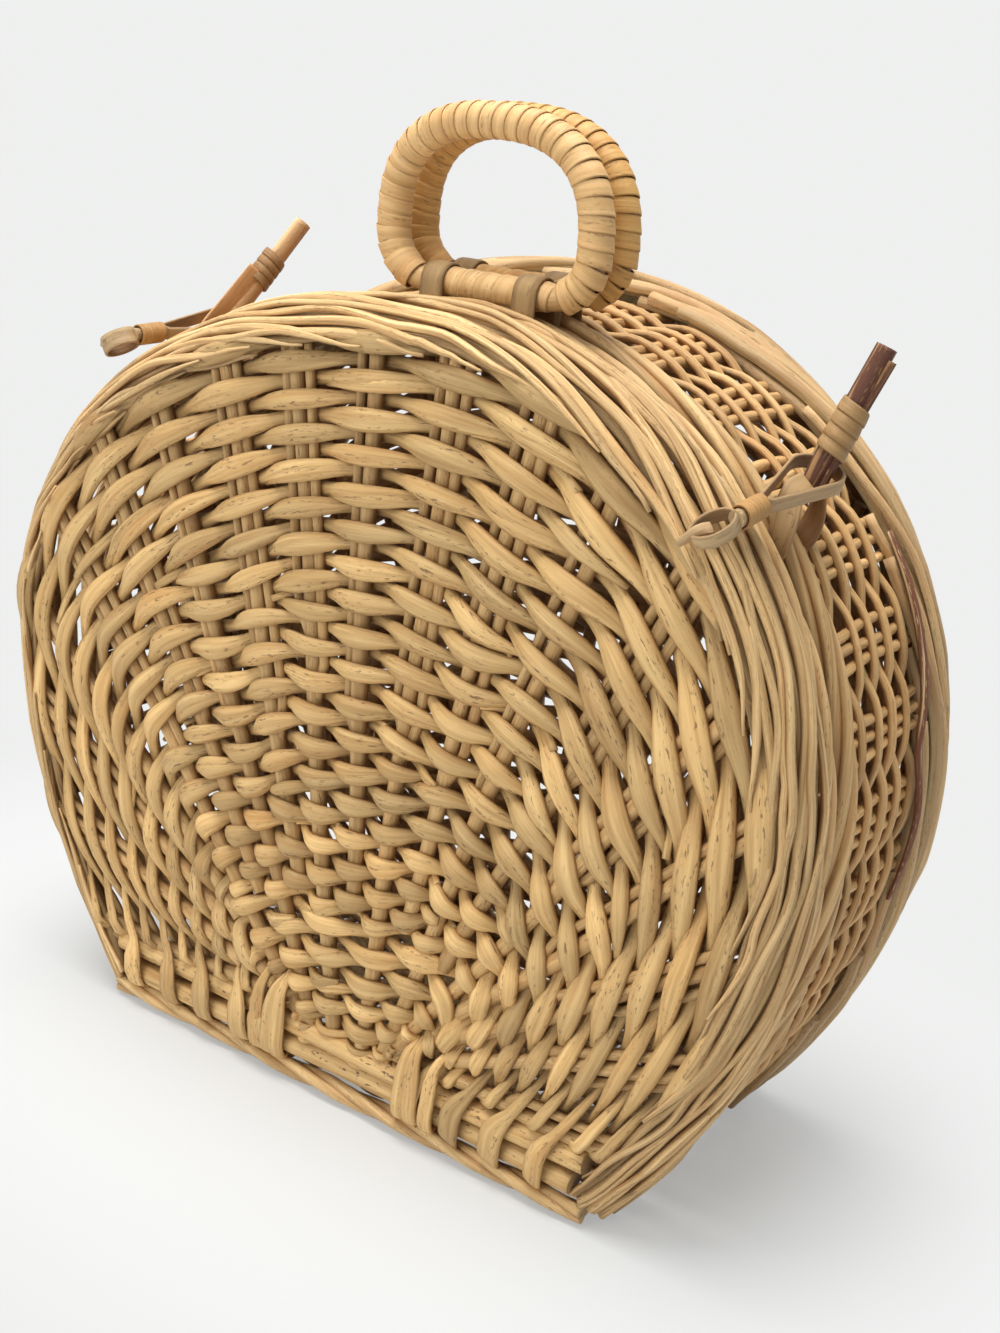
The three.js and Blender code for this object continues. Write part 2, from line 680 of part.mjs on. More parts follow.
// The hasp's loop: a strip on edge, narrow at the stub and wide round the toggle.
function haspLoopGeometry(closure) {
  const along = haspAlong(closure);
  const stick = toggleAlong(closure);
  const across = stick.clone().addScaledVector(along, -stick.dot(along)).normalize();
  const side = new THREE.Vector3().crossVectors(across, along);
  const plane = new THREE.Matrix4().makeBasis(along, side, across).setPosition(haspStubStart(closure));
  const crossing = togglePoint(closure, closure.crossing).sub(haspStubStart(closure)).length();
  const near = HASP_STUB_LENGTH + GAP + HASP_STRIP + HASP_LOOP_NEAR;
  const link = {
    first: new THREE.Vector2(near, 0),
    firstRadius: HASP_LOOP_NEAR,
    second: new THREE.Vector2(crossing, 0),
    secondRadius: HASP_LOOP_FAR,
  };
  const loop = linkGeometry(link, HASP_STRIP, HASP_LOOP_WIDTH, plane);
  return loop.applyMatrix4(closureFrame(closure.facet));
}

function haspNeckGeometry(name, closure) {
  const length = HASP_NECK_TURNS * BINDING_PITCH;
  const start = (HASP_STUB_LENGTH - length) / 2 + HASP_NECK_SHIFT;
  const curve = new THREE.LineCurve3(haspPoint(closure, start), haspPoint(closure, start + length));
  const core = HASP_STUB_RADIUS;
  const turns = HASP_NECK_TURNS;
  const strip = [BINDING_WIDTH, BINDING_THICKNESS];
  const winding = windingGeometry(name, curve, [0, 1], core, turns, WRAP_STEPS, ...strip);
  return winding.applyMatrix4(closureFrame(closure.facet));
}

// The slit in the lid's edge that the hasp's eye swings in, with the strands that it goes round left whole.
function haspSlot(closure) {
  const inner = HASP_EYE_RADIUS - GAP;
  const slot = ringGeometry(haspEye(closure), inner, HASP_SLOT_RADIUS, HASP_EYE_WIDTH + 2 * GAP);
  return solidFrom(slot.applyMatrix4(closureFrame(closure.facet)));
}

// The notch in the side wall that the toggle's shaved loop passes through.
function toggleSlot(closure) {
  const { from, to, top, halfWidth } = TOGGLE_SLOT;
  const along = [closure.shift - halfWidth, closure.shift + halfWidth];
  return boxSolid([RIM_Y, to], [from - RIM_RADIUS, top], along, closureFrame(closure.facet));
}

const basket = new THREE.Group();
basket.position.y = (LID_DEPTH - BODY_DEPTH) / 2;
const body = new THREE.Group();
const lid = new THREE.Group();
const handles = new THREE.Group();
const closures = new THREE.Group();
basket.add(body, lid, handles, closures);

function addPiece(group, name, geometry, material) {
  const piece = new THREE.Mesh(geometry, material);
  piece.name = name;
  group.add(piece);
}

// Woven panel, stakes, base sticks, bottom edge and floor rod of one half.
function addHalf(group, prefix, side, depth) {
  const panelY = side * (depth - PANEL_THICKNESS / 2);
  addPiece(group, prefix + "_panel_weave", panelGeometry(side, depth), side < 0 ? peeled() : tanned());
  stakeAngles.forEach((angle, i) => {
    const end = fanReach(angle, PANEL_INSET) - STAKE_END_COVER;
    const stake = stakeGeometry(angle, stakeY(side, depth), STAKE_RADIUS, STAKE_START, end);
    addPiece(group, prefix + "_fan_stake_" + (i + 1), stake, fine());
  });
  stickHeights.forEach((z, i) => {
    const stick = barGeometry(stickHalfLength(z), panelY, z, STICK_RADIUS);
    addPiece(group, prefix + "_base_stick_" + (i + 1), stick, peeled());
  });
  const edgeY = side * (depth - EDGE_RADIUS);
  const edgeZ = EDGE_RADIUS * Math.cos(Math.PI / ROUND);
  const edge = barGeometry(HALF_CHORD - EDGE_RADIUS, edgeY, edgeZ, EDGE_RADIUS);
  addPiece(group, prefix + "_bottom_edge", edge, fine());
  const rod = barGeometry(HALF_CHORD - RIM_RADIUS, side * RIM_Y, HINGE_HEIGHT, RIM_RADIUS);
  addPiece(group, prefix + "_floor_rod", rod, fine());
  const rimFoot = HINGE_HEIGHT + RIM_RADIUS + GAP;
  const rim = archGeometry(roundSection(side * RIM_Y, RIM_RADIUS, RIM_RADIUS), rimFoot);
  addPiece(group, prefix + "_rim_border", rim, fine());
  for (const [place, x] of Object.entries(tiePlaces)) {
    const tie = linkGeometry(tieLink(x, side * RIM_Y), STRIP, TIE_WIDTH, crossPlane(x));
    addPiece(group, prefix + "_handle_tie_" + place, tie, bark());
  }
}

addHalf(body, "body", 1, BODY_DEPTH);
addHalf(lid, "lid", -1, LID_DEPTH);

const closureList = Object.values(CLOSURES);
const bodyCuts = [...tieSlots(RIM_Y), ...closureList.map(toggleSlot)];
const lidCuts = [...tieSlots(-RIM_Y), ...closureList.map(haspSlot)];

addPiece(body, "body_side_weave", sideWallGeometry(bodyCuts), tanned());
const backSection = shoulderSection(SIDE_WALL_END + GAP, BODY_DEPTH, BACK_BULGE, SIDE_TAPER);
addPiece(body, "body_edge_wale", archGeometry(backSection, ARCH_FOOT), fine());
const lidSection = shoulderSection(-rimEnd, -LID_DEPTH, LID_BULGE, 0);
addPiece(lid, "lid_edge_wale", archGeometry(lidSection, ARCH_FOOT, lidCuts), fine());

// Cane loops of the hinge, round both floor rods; the lid's floor is notched to swing past them.
const hingeLink = {
  first: new THREE.Vector2(RIM_Y, HINGE_HEIGHT),
  firstRadius: RIM_RADIUS + GAP,
  second: new THREE.Vector2(-RIM_Y, HINGE_HEIGHT),
  secondRadius: RIM_RADIUS + GAP,
};
const loopReach = RIM_Y + RIM_RADIUS + 2 * GAP + STRIP;
for (const [place, share] of Object.entries(HINGE_LOOP_SHARES)) {
  const x = share * HALF_CHORD;
  const loop = linkGeometry(hingeLink, STRIP, HINGE_LOOP_WIDTH, crossPlane(x));
  addPiece(body, "hinge_loop_" + place, loop, cane());
}

const floorHalf = HALF_CHORD - EDGE_RADIUS;
const bodyFloorEnd = BODY_DEPTH - 2 * EDGE_RADIUS - GAP;
const bodyFloor = boxSolid([-floorHalf, floorHalf], [loopReach, bodyFloorEnd], [0, FLOOR_TOP]);
addPiece(body, "body_floor_weave", geometryFrom(bodyFloor), tanned());

const lidFloorEnd = LID_DEPTH - 2 * EDGE_RADIUS - GAP;
const notches = Object.values(HINGE_LOOP_SHARES).map((share) => {
  const x = share * HALF_CHORD;
  const half = HINGE_LOOP_WIDTH / 2 + HINGE_NOTCH.side;
  return boxSolid([x - half, x + half], [-loopReach - HINGE_NOTCH.depth, 0], [0, ARCH_FOOT]);
});
const lidFloor = boxSolid([-floorHalf, floorHalf], [-lidFloorEnd, -loopReach], [LID_FLOOR_BOTTOM, FLOOR_TOP]);
const notchedFloor = notches.reduce((solid, notch) => solid.subtract(notch), lidFloor);
addPiece(lid, "lid_floor_weave", geometryFrom(notchedFloor), tanned());

for (const [name, side] of [["front", -1], ["rear", 1]]) {
  const y = side * RIM_Y;
  const wrapName = name + "_handle_wrap";
  const range = [WRAP_MARGIN, 1 - WRAP_MARGIN];
  const arch = handleArch(y);
  const core = HANDLE_CORE_RADIUS;
  const strip = [WRAP_WIDTH, WRAP_THICKNESS];
  const wrap = windingGeometry(wrapName, arch, range, core, WRAP_TURNS, WRAP_STEPS, ...strip);
  addPiece(handles, name + "_handle_core", handleCoreGeometry(y), cane());
  addPiece(handles, wrapName, wrap, cane());
}

const stickColours = { left: 0xd7aa73, right: 0x64413a };
for (const [side, closure] of Object.entries(CLOSURES)) {
  const bindingName = side + "_toggle_binding";
  const neckName = side + "_hasp_binding";
  addPiece(closures, side + "_toggle_stick", toggleGeometry(closure), willow(stickColours[side], 0.7));
  addPiece(closures, bindingName, toggleBindingGeometry(bindingName, closure), bark());
  addPiece(closures, side + "_hasp_eye", haspEyeGeometry(closure), bark());
  addPiece(closures, neckName, haspNeckGeometry(neckName, closure), cane());
  addPiece(closures, side + "_hasp_loop", haspLoopGeometry(closure), bark());
}

export default basket;
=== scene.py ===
import bpy
import numpy as np
from mathutils import Matrix


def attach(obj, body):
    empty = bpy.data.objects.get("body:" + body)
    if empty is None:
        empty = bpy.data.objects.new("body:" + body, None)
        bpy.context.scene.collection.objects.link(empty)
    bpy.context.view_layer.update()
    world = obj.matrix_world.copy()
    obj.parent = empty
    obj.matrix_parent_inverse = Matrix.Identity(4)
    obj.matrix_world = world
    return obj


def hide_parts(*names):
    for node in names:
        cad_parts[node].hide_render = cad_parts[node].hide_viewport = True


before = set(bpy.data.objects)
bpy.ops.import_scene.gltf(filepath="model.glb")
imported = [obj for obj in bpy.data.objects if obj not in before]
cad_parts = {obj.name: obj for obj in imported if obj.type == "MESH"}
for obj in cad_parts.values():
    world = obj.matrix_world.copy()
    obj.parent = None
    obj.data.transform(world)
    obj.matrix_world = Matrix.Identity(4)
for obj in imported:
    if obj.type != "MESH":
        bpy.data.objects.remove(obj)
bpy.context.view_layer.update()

# Base sticks of the face: two peeled willow sticks laid one above the other along the bottom of the lid.
# The fan of stakes grows out of their middle, and the weavers of the face turn round them on both sides.
SEAM = -0.026
FACE_MIDDLE = -0.0265
STICK_HEIGHTS = (0.0136, 0.0223)
STICK_HALF_LENGTHS = (0.1025, 0.1065)
STICK_THICKNESS = 0.0043
STICK_STEPS = 60
STICK_BOW = 0.0006
STICK_WAVE = 31
STICK_TONES = (0.45, 0.75)
WILLOW_PALE = (0.80, 0.545, 0.235, 1)
WILLOW_DEEP = (0.50, 0.29, 0.10, 1)
WILLOW_SHEEN = 0.38
BARK_BROWN = (0.16, 0.06, 0.028, 1)
SHADED_TINT = (0.56, 0.43, 0.33, 1)
RUDDY_TINT = (0.84, 0.68, 0.54, 1)
SPECK_BROWN = (0.17, 0.085, 0.035, 1)
END_GRAIN = (0.62, 0.45, 0.24, 1)
GRAIN_SHIFT = 3
GRAIN_DEPTH = 0.0005
KNOB_STEPS = 9
chance = np.random.default_rng(11)


def unit(vectors):
    """Vectors divided by their lengths."""
    return vectors / np.linalg.norm(vectors, axis=-1, keepdims=True)


def ease(value):
    """Smooth step: 0 below 0, 1 above 1, and 3v^2 - 2v^3 between."""
    value = np.clip(value, 0, 1)
    return value * value * (3 - 2 * value)


def distance_along(points):
    """Distance run along a path up to each of its points."""
    return np.r_[0, np.cumsum(np.linalg.norm(np.diff(points, axis=0), axis=1))]


def through(points, count):
    """Smooth path through points: Catmull-Rom cubics, sampled count times evenly along the chords."""
    points = np.asarray(points, float)
    chord = distance_along(points)
    place = np.linspace(0, chord[-1], count)
    part = np.clip(np.searchsorted(chord, place, "right") - 1, 0, len(points) - 2)
    t = ((place - chord[part]) / (chord[part + 1] - chord[part]))[:, None]
    padded = np.vstack([2 * points[0] - points[1], points, 2 * points[-1] - points[-2]])
    a, b, c, d = (padded[part + k] for k in range(4))
    return 0.5 * (2 * b + (c - a) * t + (2 * a - 5 * b + 4 * c - d) * t**2 + (3 * b - a - 3 * c + d) * t**3)


def rod(path, facing, width, thick, tone=0.5, sides=10, closed=False, flat=1.0, bark=0.0):
    """Surface of one rod or strip: at each step of the path an oval of half width `width` across the facing
    direction and half thickness `thick` along it. `flat` under 1 squares the oval into a strip's section."""
    path = np.asarray(path, float)
    ends = (np.roll(path, -1, 0), np.roll(path, 1, 0)) if closed else (np.gradient(path, axis=0), 0)
    tangent = unit(ends[0] - ends[1])
    facing = np.broadcast_to(np.asarray(facing, float), path.shape)
    facing = unit(facing - (facing * tangent).sum(1, keepdims=True) * tangent)
    across = np.cross(facing, tangent)
    turn = 2 * np.pi * (np.arange(sides) + 0.5) / sides
    over = np.sign(np.cos(turn)) * np.abs(np.cos(turn)) ** flat
    up = np.sign(np.sin(turn)) * np.abs(np.sin(turn)) ** flat
    width = np.broadcast_to(width, len(path))[:, None, None]
    thick = np.broadcast_to(thick, len(path))[:, None, None]
    skin = path[:, None] + across[:, None] * width * over[:, None] + facing[:, None] * thick * up[:, None]
    along = distance_along(path) + GRAIN_SHIFT * chance.random()
    fibre = np.empty(skin.shape)
    fibre[..., 0] = along[:, None]
    fibre[..., 1] = np.cos(turn)
    fibre[..., 2] = np.sin(turn)
    return {"skin": skin, "fibre": fibre, "tone": tone, "bark": bark, "closed": closed}


def woven(name, rods, finish, body, nodes=None):
    """One piece from many rods: the grids of their surfaces are joined into one mesh, each rod end is closed
    by one flat face, and the piece rides on its body in place of its CAD nodes, or of the one of its name."""
    nodes = nodes or [name]
    points, fibres, tones, barks, quads, ends = [], [], [], [], [], []
    first = 0
    for one in rods:
        steps, sides = one["skin"].shape[:2]
        grid = first + np.arange(steps * sides).reshape(steps, sides)
        rows = np.vstack([grid, grid[:1]]) if one["closed"] else grid
        beside = np.roll(rows, -1, axis=1)
        quads.append(np.stack([rows[:-1], beside[:-1], beside[1:], rows[1:]], -1).reshape(-1, 4))
        if not one["closed"]:
            ends += [grid[0, ::-1], grid[-1]]
        points.append(one["skin"].reshape(-1, 3))
        fibres.append(one["fibre"].reshape(-1, 3))
        tones.append(np.full(steps * sides, one["tone"]))
        barks.append(np.full(steps * sides, one["bark"]))
        first += steps * sides
    quads = np.vstack(quads)
    corners = np.concatenate([quads.ravel(), *ends])
    sizes = np.concatenate([np.full(len(quads), 4), [len(end) for end in ends]]).astype(np.int32)
    mesh = bpy.data.meshes.new(name)
    mesh.vertices.add(first)
    mesh.vertices.foreach_set("co", np.concatenate(points).ravel())
    mesh.loops.add(len(corners))
    mesh.loops.foreach_set("vertex_index", corners.astype(np.int32))
    mesh.polygons.add(len(sizes))
    mesh.polygons.foreach_set("loop_start", np.r_[0, np.cumsum(sizes)[:-1]].astype(np.int32))
    mesh.update(calc_edges=True)
    cut = np.arange(len(sizes)) >= len(quads)
    mesh.polygons.foreach_set("use_smooth", ~cut)
    for label, kind, domain, field, values in (
        ("fibre", "FLOAT_VECTOR", "POINT", "vector", np.concatenate(fibres).ravel()),
        ("tone", "FLOAT", "POINT", "value", np.concatenate(tones)),
        ("bark", "FLOAT", "POINT", "value", np.concatenate(barks)),
        ("cut", "FLOAT", "FACE", "value", cut.astype(np.float32)),
    ):
        mesh.attributes.new(label, kind, domain).data.foreach_set(field, values)
    mesh.materials.append(finish)
    piece = bpy.data.objects.new(name, mesh)
    bpy.context.scene.collection.objects.link(piece)
    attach(piece, body)
    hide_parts(*nodes)


def wire(tree, kind, inputs=(), **settings):
    """A shader node: settings are its own properties, and inputs are plain values or other nodes' outputs."""
    node = tree.nodes.new(kind)
    for key, value in settings.items():
        setattr(node, key, value)
    for key, value in dict(inputs).items():
        if isinstance(value, bpy.types.NodeSocket):
            tree.links.new(value, node.inputs[key])
        else:
            node.inputs[key].default_value = value
    return node


def sums(tree, operation, *values):
    """A math node's result."""
    return wire(tree, "ShaderNodeMath", dict(enumerate(values)), operation=operation).outputs[0]


def blended(tree, share, first, second, how="MIX"):
    """Colour mixed from two by a share."""
    inputs = {0: share, 6: first, 7: second}
    return wire(tree, "ShaderNodeMix", inputs, data_type="RGBA", blend_type=how).outputs[2]


def ranged(tree, value, low, high, to_low=0.0, to_high=1.0):
    """Value carried from one range to another and held inside it."""
    inputs = {"Value": value, "From Min": low, "From Max": high, "To Min": to_low, "To Max": to_high}
    return wire(tree, "ShaderNodeMapRange", inputs).outputs[0]


def fibre_group():
    """Shader group for willow and cane: streaks and fine fibres that run along each rod, dark specks and leaf
    scars, a tone for each rod, painted shade on the sides and back of each rod, strips of bark on bark-on
    rods, and pale end grain where a rod is cut."""
    group = bpy.data.node_groups.new("willow_fibre", "ShaderNodeTree")
    for name, kind in (("Pale", "Color"), ("Deep", "Color"), ("Bark", "Color"), ("Specks", "Float")):
        group.interface.new_socket(name, in_out="INPUT", socket_type="NodeSocket" + kind)
    for name, kind in (("Color", "Color"), ("Roughness", "Float"), ("Height", "Float")):
        group.interface.new_socket(name, in_out="OUTPUT", socket_type="NodeSocket" + kind)
    given = wire(group, "NodeGroupInput").outputs
    fibre = wire(group, "ShaderNodeAttribute", attribute_name="fibre").outputs["Vector"]
    tone = wire(group, "ShaderNodeAttribute", attribute_name="tone").outputs["Fac"]
    bark = wire(group, "ShaderNodeAttribute", attribute_name="bark").outputs["Fac"]
    cut = wire(group, "ShaderNodeAttribute", attribute_name="cut").outputs["Fac"]

    def grain(stretch, detail):
        """Noise on the fibre coordinates, stretched along and round the rod."""
        vector = wire(group, "ShaderNodeVectorMath", {0: fibre, 1: stretch}, operation="MULTIPLY").outputs[0]
        inputs = {"Vector": vector, "Scale": 1.0, "Detail": detail, "Roughness": 0.6}
        return wire(group, "ShaderNodeTexNoise", inputs).outputs["Fac"]

    streak = grain((24, 1.6, 1.6), 4)
    lines = grain((75, 13, 13), 3)
    patch = grain((14, 0.7, 0.7), 2)
    mark = grain((330, 4.5, 4.5), 2)
    where = grain((38, 1.1, 1.1), 1)
    share = ranged(group, sums(group, "ADD", streak, sums(group, "MULTIPLY", lines, 0.25)), 0.42, 0.8)
    colour = blended(group, share, given["Deep"], given["Pale"])
    shade = ranged(group, tone, 0, 1, 0.68, 1.2)
    grey = wire(group, "ShaderNodeCombineColor", {0: shade, 1: shade, 2: shade}).outputs[0]
    colour = blended(group, 1.0, colour, grey, "MULTIPLY")
    # Painted shade: the sides and back of each rod, away from the way it faces, are darkened by the shaded
    # tint.
    under = ranged(group, wire(group, "ShaderNodeSeparateXYZ", {0: fibre}).outputs[2], -0.45, 0.75, 0.9, 0)
    colour = blended(group, under, colour, blended(group, 1.0, colour, SHADED_TINT, "MULTIPLY"))
    ruddy = ranged(group, patch, 0.5, 0.74, 0, 0.7)
    colour = blended(group, ruddy, colour, blended(group, 1.0, colour, RUDDY_TINT, "MULTIPLY"))
    speck = sums(group, "MULTIPLY", ranged(group, mark, 0.57, 0.66), ranged(group, where, 0.47, 0.6))
    speck = sums(group, "MULTIPLY", speck, given["Specks"])
    peeled = sums(group, "SUBTRACT", 1.0, bark)
    colour = blended(group, sums(group, "MULTIPLY", speck, peeled), colour, SPECK_BROWN)
    flake = ranged(group, sums(group, "ADD", patch, sums(group, "MULTIPLY", streak, 0.6)), 0.9, 0.95, 1, 0.1)
    flake = sums(group, "MULTIPLY", flake, sums(group, "SUBTRACT", 1.0, speck))
    colour = blended(group, sums(group, "MULTIPLY", bark, flake), colour, given["Bark"])
    colour = blended(group, sums(group, "MULTIPLY", cut, 0.6), colour, END_GRAIN)
    rough = sums(group, "ADD", ranged(group, lines, 0.3, 0.7, 0.42, 0.6), sums(group, "MULTIPLY", bark, 0.12))
    height = sums(group, "ADD", lines, sums(group, "MULTIPLY", streak, 0.8))
    height = sums(group, "SUBTRACT", height, sums(group, "MULTIPLY", speck, 0.5))
    wire(group, "NodeGroupOutput", {"Color": colour, "Roughness": rough, "Height": height})
    return group


WILLOW_FIBRE = fibre_group()


def willow(name, pale, deep, bark=BARK_BROWN, specks=0.8, relief=0.5):
    """Material of peeled or bark-on willow, or of cane, from the fibre group with its own colours."""
    material = bpy.data.materials.new(name)
    material.use_nodes = True
    tree = material.node_tree
    shader = tree.nodes["Principled BSDF"]
    colours = {"Pale": pale, "Deep": deep, "Bark": bark, "Specks": specks}
    fibre = wire(tree, "ShaderNodeGroup", colours, node_tree=WILLOW_FIBRE).outputs
    raised = {"Height": fibre["Height"], "Strength": relief, "Distance": GRAIN_DEPTH}
    bump = wire(tree, "ShaderNodeBump", raised)
    tree.links.new(fibre["Color"], shader.inputs["Base Color"])
    tree.links.new(fibre["Roughness"], shader.inputs["Roughness"])
    tree.links.new(bump.outputs[0], shader.inputs["Normal"])
    shader.inputs["Specular IOR Level"].default_value = WILLOW_SHEEN
    return material


def wavering(least, most, knots, count):
    """Random values between two limits: a smooth curve through evenly spaced knots."""
    return through(chance.uniform(least, most, (knots, 1)), count)[:, 0]


def knobbly(count, least=0.93, most=1.06):
    """Thickness along a stick: slow random swelling between two shares."""
    return wavering(least, most, max(count // KNOB_STEPS, 3), count)


def phase():
    """Random start of a wave, in radians."""
    return chance.uniform(0, 6)


def base_stick(depth, z, half, facing):
    """A stick along X with a slight bow and knots: a rod whose radius swells slowly."""
    x = np.linspace(-half, half, STICK_STEPS)
    bow = STICK_BOW * np.sin(x * STICK_WAVE + phase())
    path = np.stack([x, np.full(STICK_STEPS, SEAM + depth) + bow, z + bow], -1)
    thick = STICK_THICKNESS * knobbly(STICK_STEPS)
    return rod(path, facing, thick, thick, chance.uniform(*STICK_TONES), sides=16)


face_stick_willow = willow("face_stick_willow", WILLOW_PALE, WILLOW_DEEP, specks=1.0)
for i, (z, half) in enumerate(zip(STICK_HEIGHTS, STICK_HALF_LENGTHS)):
    stick = base_stick(FACE_MIDDLE, z, half, (0, -1, 0))
    woven(f"lid_base_stick_{i + 1}", [stick], face_stick_willow, "lid")

# Fan stakes of the face: peeled willow rods that rise from the base sticks and spread to the edge of the D.
# Every second one is pushed in beside its neighbours further out, and near the edge thin rods are added.
HALF_WIDTH = 0.165
HALF_CHORD = 0.110
WIDEST_HEIGHT = 0.142
CROWN_RISE = 0.140
APEX_X = 0.028
STAKES = 19
STAKE_CROWDING = 0.18
STAKE_RADIUS = 0.0027
FAN_X = 0.0055
FAN_HALF_WIDTH = 0.024
FAN_HEIGHT = 0.031
FAN_SAG = 0.001
FAN_SWING = 5.5
FACE_INSETS = (0.0095, 0.0055)
INSET_TURN = 0.9
LOWEST_STAKE = 0.030
EARLY_STAKE_REACH = -0.055
LATE_STAKE_REACH = 0.2
STAKE_END = 0.985
STAKE_STEPS = 30
STAKE_TAPER = (1.08, 0.92)
STAKE_WANDER = 0.0009
STAKE_WAVE = 9
STAKE_TONES = (0.25, 0.8)
THIN_STAKE_RADIUS = 0.0018
THIN_STAKE_OFFSET = 0.0021
THIN_STAKE_STARTS = (0.4, 0.62)
THIN_STAKE_BEND = 0.08
THIN_STAKE_STEPS = 22
THIN_STAKE_TONES = (0.2, 0.8)
STAKE_NODES = range(1, 10)
OUTLINE_STEPS = 700


def d_outline(count):
    """The D from the right foot over the crown to the left foot: parabolic flanks up to the widest height,
    and two quarter ellipses that meet at the apex. Gives arc length, x, z and the outward normal's x and
    z."""
    up = np.linspace(0, 1, count)
    flank = HALF_WIDTH - (HALF_WIDTH - HALF_CHORD) * (1 - up) ** 2
    turn = np.linspace(0, np.pi, 2 * count)
    reach = np.where(np.cos(turn) > 0, HALF_WIDTH - APEX_X, HALF_WIDTH + APEX_X)
    x = np.r_[flank[:-1], APEX_X + reach * np.cos(turn), -flank[-2::-1]]
    z = np.r_[WIDEST_HEIGHT * up[:-1], WIDEST_HEIGHT + CROWN_RISE * np.sin(turn), WIDEST_HEIGHT * up[-2::-1]]
    along = np.r_[0, np.cumsum(np.hypot(np.diff(x), np.diff(z)))]
    dx, dz = np.gradient(x), np.gradient(z)
    size = np.hypot(dx, dz)
    return along, x, z, dz / size, -dx / size


D_ALONG, D_X, D_Z, D_OUT_X, D_OUT_Z = d_outline(OUTLINE_STEPS)
ARCH_LENGTH = D_ALONG[-1]


def arch_out(place):
    """Outward direction from the D at an arc length."""
    x, z = np.interp(place, D_ALONG, D_OUT_X), np.interp(place, D_ALONG, D_OUT_Z)
    return np.stack([x, np.zeros_like(x), z], -1)


def on_arch(place, lift, depth):
    """Point at an arc length of the D, lifted outward, at a depth behind the seam."""
    x, z = np.interp(place, D_ALONG, D_X), np.interp(place, D_ALONG, D_Z)
    base = np.stack([x, np.broadcast_to(SEAM + np.asarray(depth, float), x.shape), z], -1)
    return base + arch_out(place) * np.broadcast_to(lift, x.shape)[:, None]


def fan_point(stake, reach, depth):
    """Place on a woven face: `stake` counts stakes from the right, and `reach` goes from the base sticks (0)
    straight to the edge of the D (1)."""
    share = np.asarray(stake, float) / (STAKES - 1)
    swing = np.tanh(FAN_SWING * (0.5 - share))
    foot_z = FAN_HEIGHT - FAN_SAG * np.abs(swing)
    foot = np.stack([FAN_X + FAN_HALF_WIDTH * swing, np.full_like(swing, SEAM), foot_z], -1)
    inset = FACE_INSETS[0] + (FACE_INSETS[1] - FACE_INSETS[0]) * ease(2 * share - INSET_TURN)
    spread = share + STAKE_CROWDING * np.sin(2 * np.pi * share) / (2 * np.pi)
    edge = on_arch(LOWEST_STAKE + (ARCH_LENGTH - 2 * LOWEST_STAKE) * spread, -inset, 0)
    point = foot + (edge - foot) * np.broadcast_to(reach, share.shape)[:, None]
    point[:, 1] += depth
    return point


def fan_stakes(depth, facing):
    """Straight tapered rods along the fan, with thin ones beside them near the edge."""
    rods = []
    for i in range(STAKES):
        reach = np.linspace(LATE_STAKE_REACH if i % 2 else EARLY_STAKE_REACH, STAKE_END, STAKE_STEPS)
        path = fan_point(np.full(STAKE_STEPS, i), reach, depth)
        side = unit(np.cross(path[-1] - path[0], (0, 1, 0)))
        path = path + side * (STAKE_WANDER * np.sin(reach * STAKE_WAVE + phase()))[:, None]
        thick = STAKE_RADIUS * np.linspace(*STAKE_TAPER, STAKE_STEPS) * knobbly(STAKE_STEPS)
        rods.append(rod(path, facing, thick, thick, chance.uniform(*STAKE_TONES)))
        for beside in (-1, 1) if i % 3 else (1,):
            begin = chance.uniform(*THIN_STAKE_STARTS)
            near = np.linspace(begin, STAKE_END, THIN_STAKE_STEPS)
            offset = beside * (STAKE_RADIUS + THIN_STAKE_OFFSET) * ease((near - begin) / THIN_STAKE_BEND)
            thin = fan_point(np.full(THIN_STAKE_STEPS, i), near, depth) + side * offset[:, None]
            radius = THIN_STAKE_RADIUS * knobbly(THIN_STAKE_STEPS)
            rods.append(rod(thin, facing, radius, radius, chance.uniform(*THIN_STAKE_TONES), sides=8))
    return rods


stake_willow = willow("stake_willow", (0.74, 0.49, 0.215, 1), (0.47, 0.275, 0.10, 1), specks=0.7)
lid_stake_nodes = [f"lid_fan_stake_{i}" for i in STAKE_NODES]
lid_stakes = fan_stakes(FACE_MIDDLE, (0, -1, 0))
woven("lid_fan_stakes", lid_stakes, stake_willow, "lid", lid_stake_nodes)

# Woven face of the lid: thick peeled willow weavers worked over and under the stakes in arcs, out to the
# edge. Each pair of rows turns round the base sticks, some rows end short at the sides, and rods join by
# lapping their tapered ends. Flat strips bind the foot of the fan to the sticks.
ROWS = 42
FINE_ROWS = 8
FIRST_ROWS = 4
FIRST_ROW_WEIGHT = 0.72
WEAVER_LIFT = 0.0038
WEAVER_WAIST = 0.40
WEAVER_SWELL = 0.235
WEAVER_THICKNESS = 0.29
WEAVER_ROOM = 0.34
WEAVER_ROUNDNESS = 0.75
WEAVER_SLIM = 0.76
WEAVER_SWELL_POWER = 0.8
WEAVER_WEIGHT_POWER = 0.6
WEAVER_LUMPS = (0.88, 1.12)
WEAVER_SMOOTHING = 1.5
WEAVER_TONES = (1.6, 1.5)
SLIM_STAKES = 5.0
STEPS_PER_STAKE = 6
ROW_DRIFT = 0.00045
ROW_DRIFT_WAVES = (0.5, 0.9)
RIGHT_SHORT_PAIRS = {2: 0.14, 3: 0.1, 5: 0.3, 7: 0.18, 9: 0.38, 11: 0.24, 13: 0.12, 14: 0.34, 16: 0.15,
                     18: 0.27}
LEFT_SHORT_PAIRS = {2: 0.08, 4: 0.14, 6: 0.1, 7: 0.32, 10: 0.2, 12: 0.12, 13: 0.37, 15: 0.26, 18: 0.17}
SHORT_FADE = 0.1
SHORT_SCATTER = 0.025
LEAST_WEIGHT = 0.12
LEAST_ROD_STAKES = 4
JOINTS_FROM_EDGE = 3
JOINT_LAP = 0.8
JOINT_TAPER = 2.2
JOINT_SHIFT = 0.34
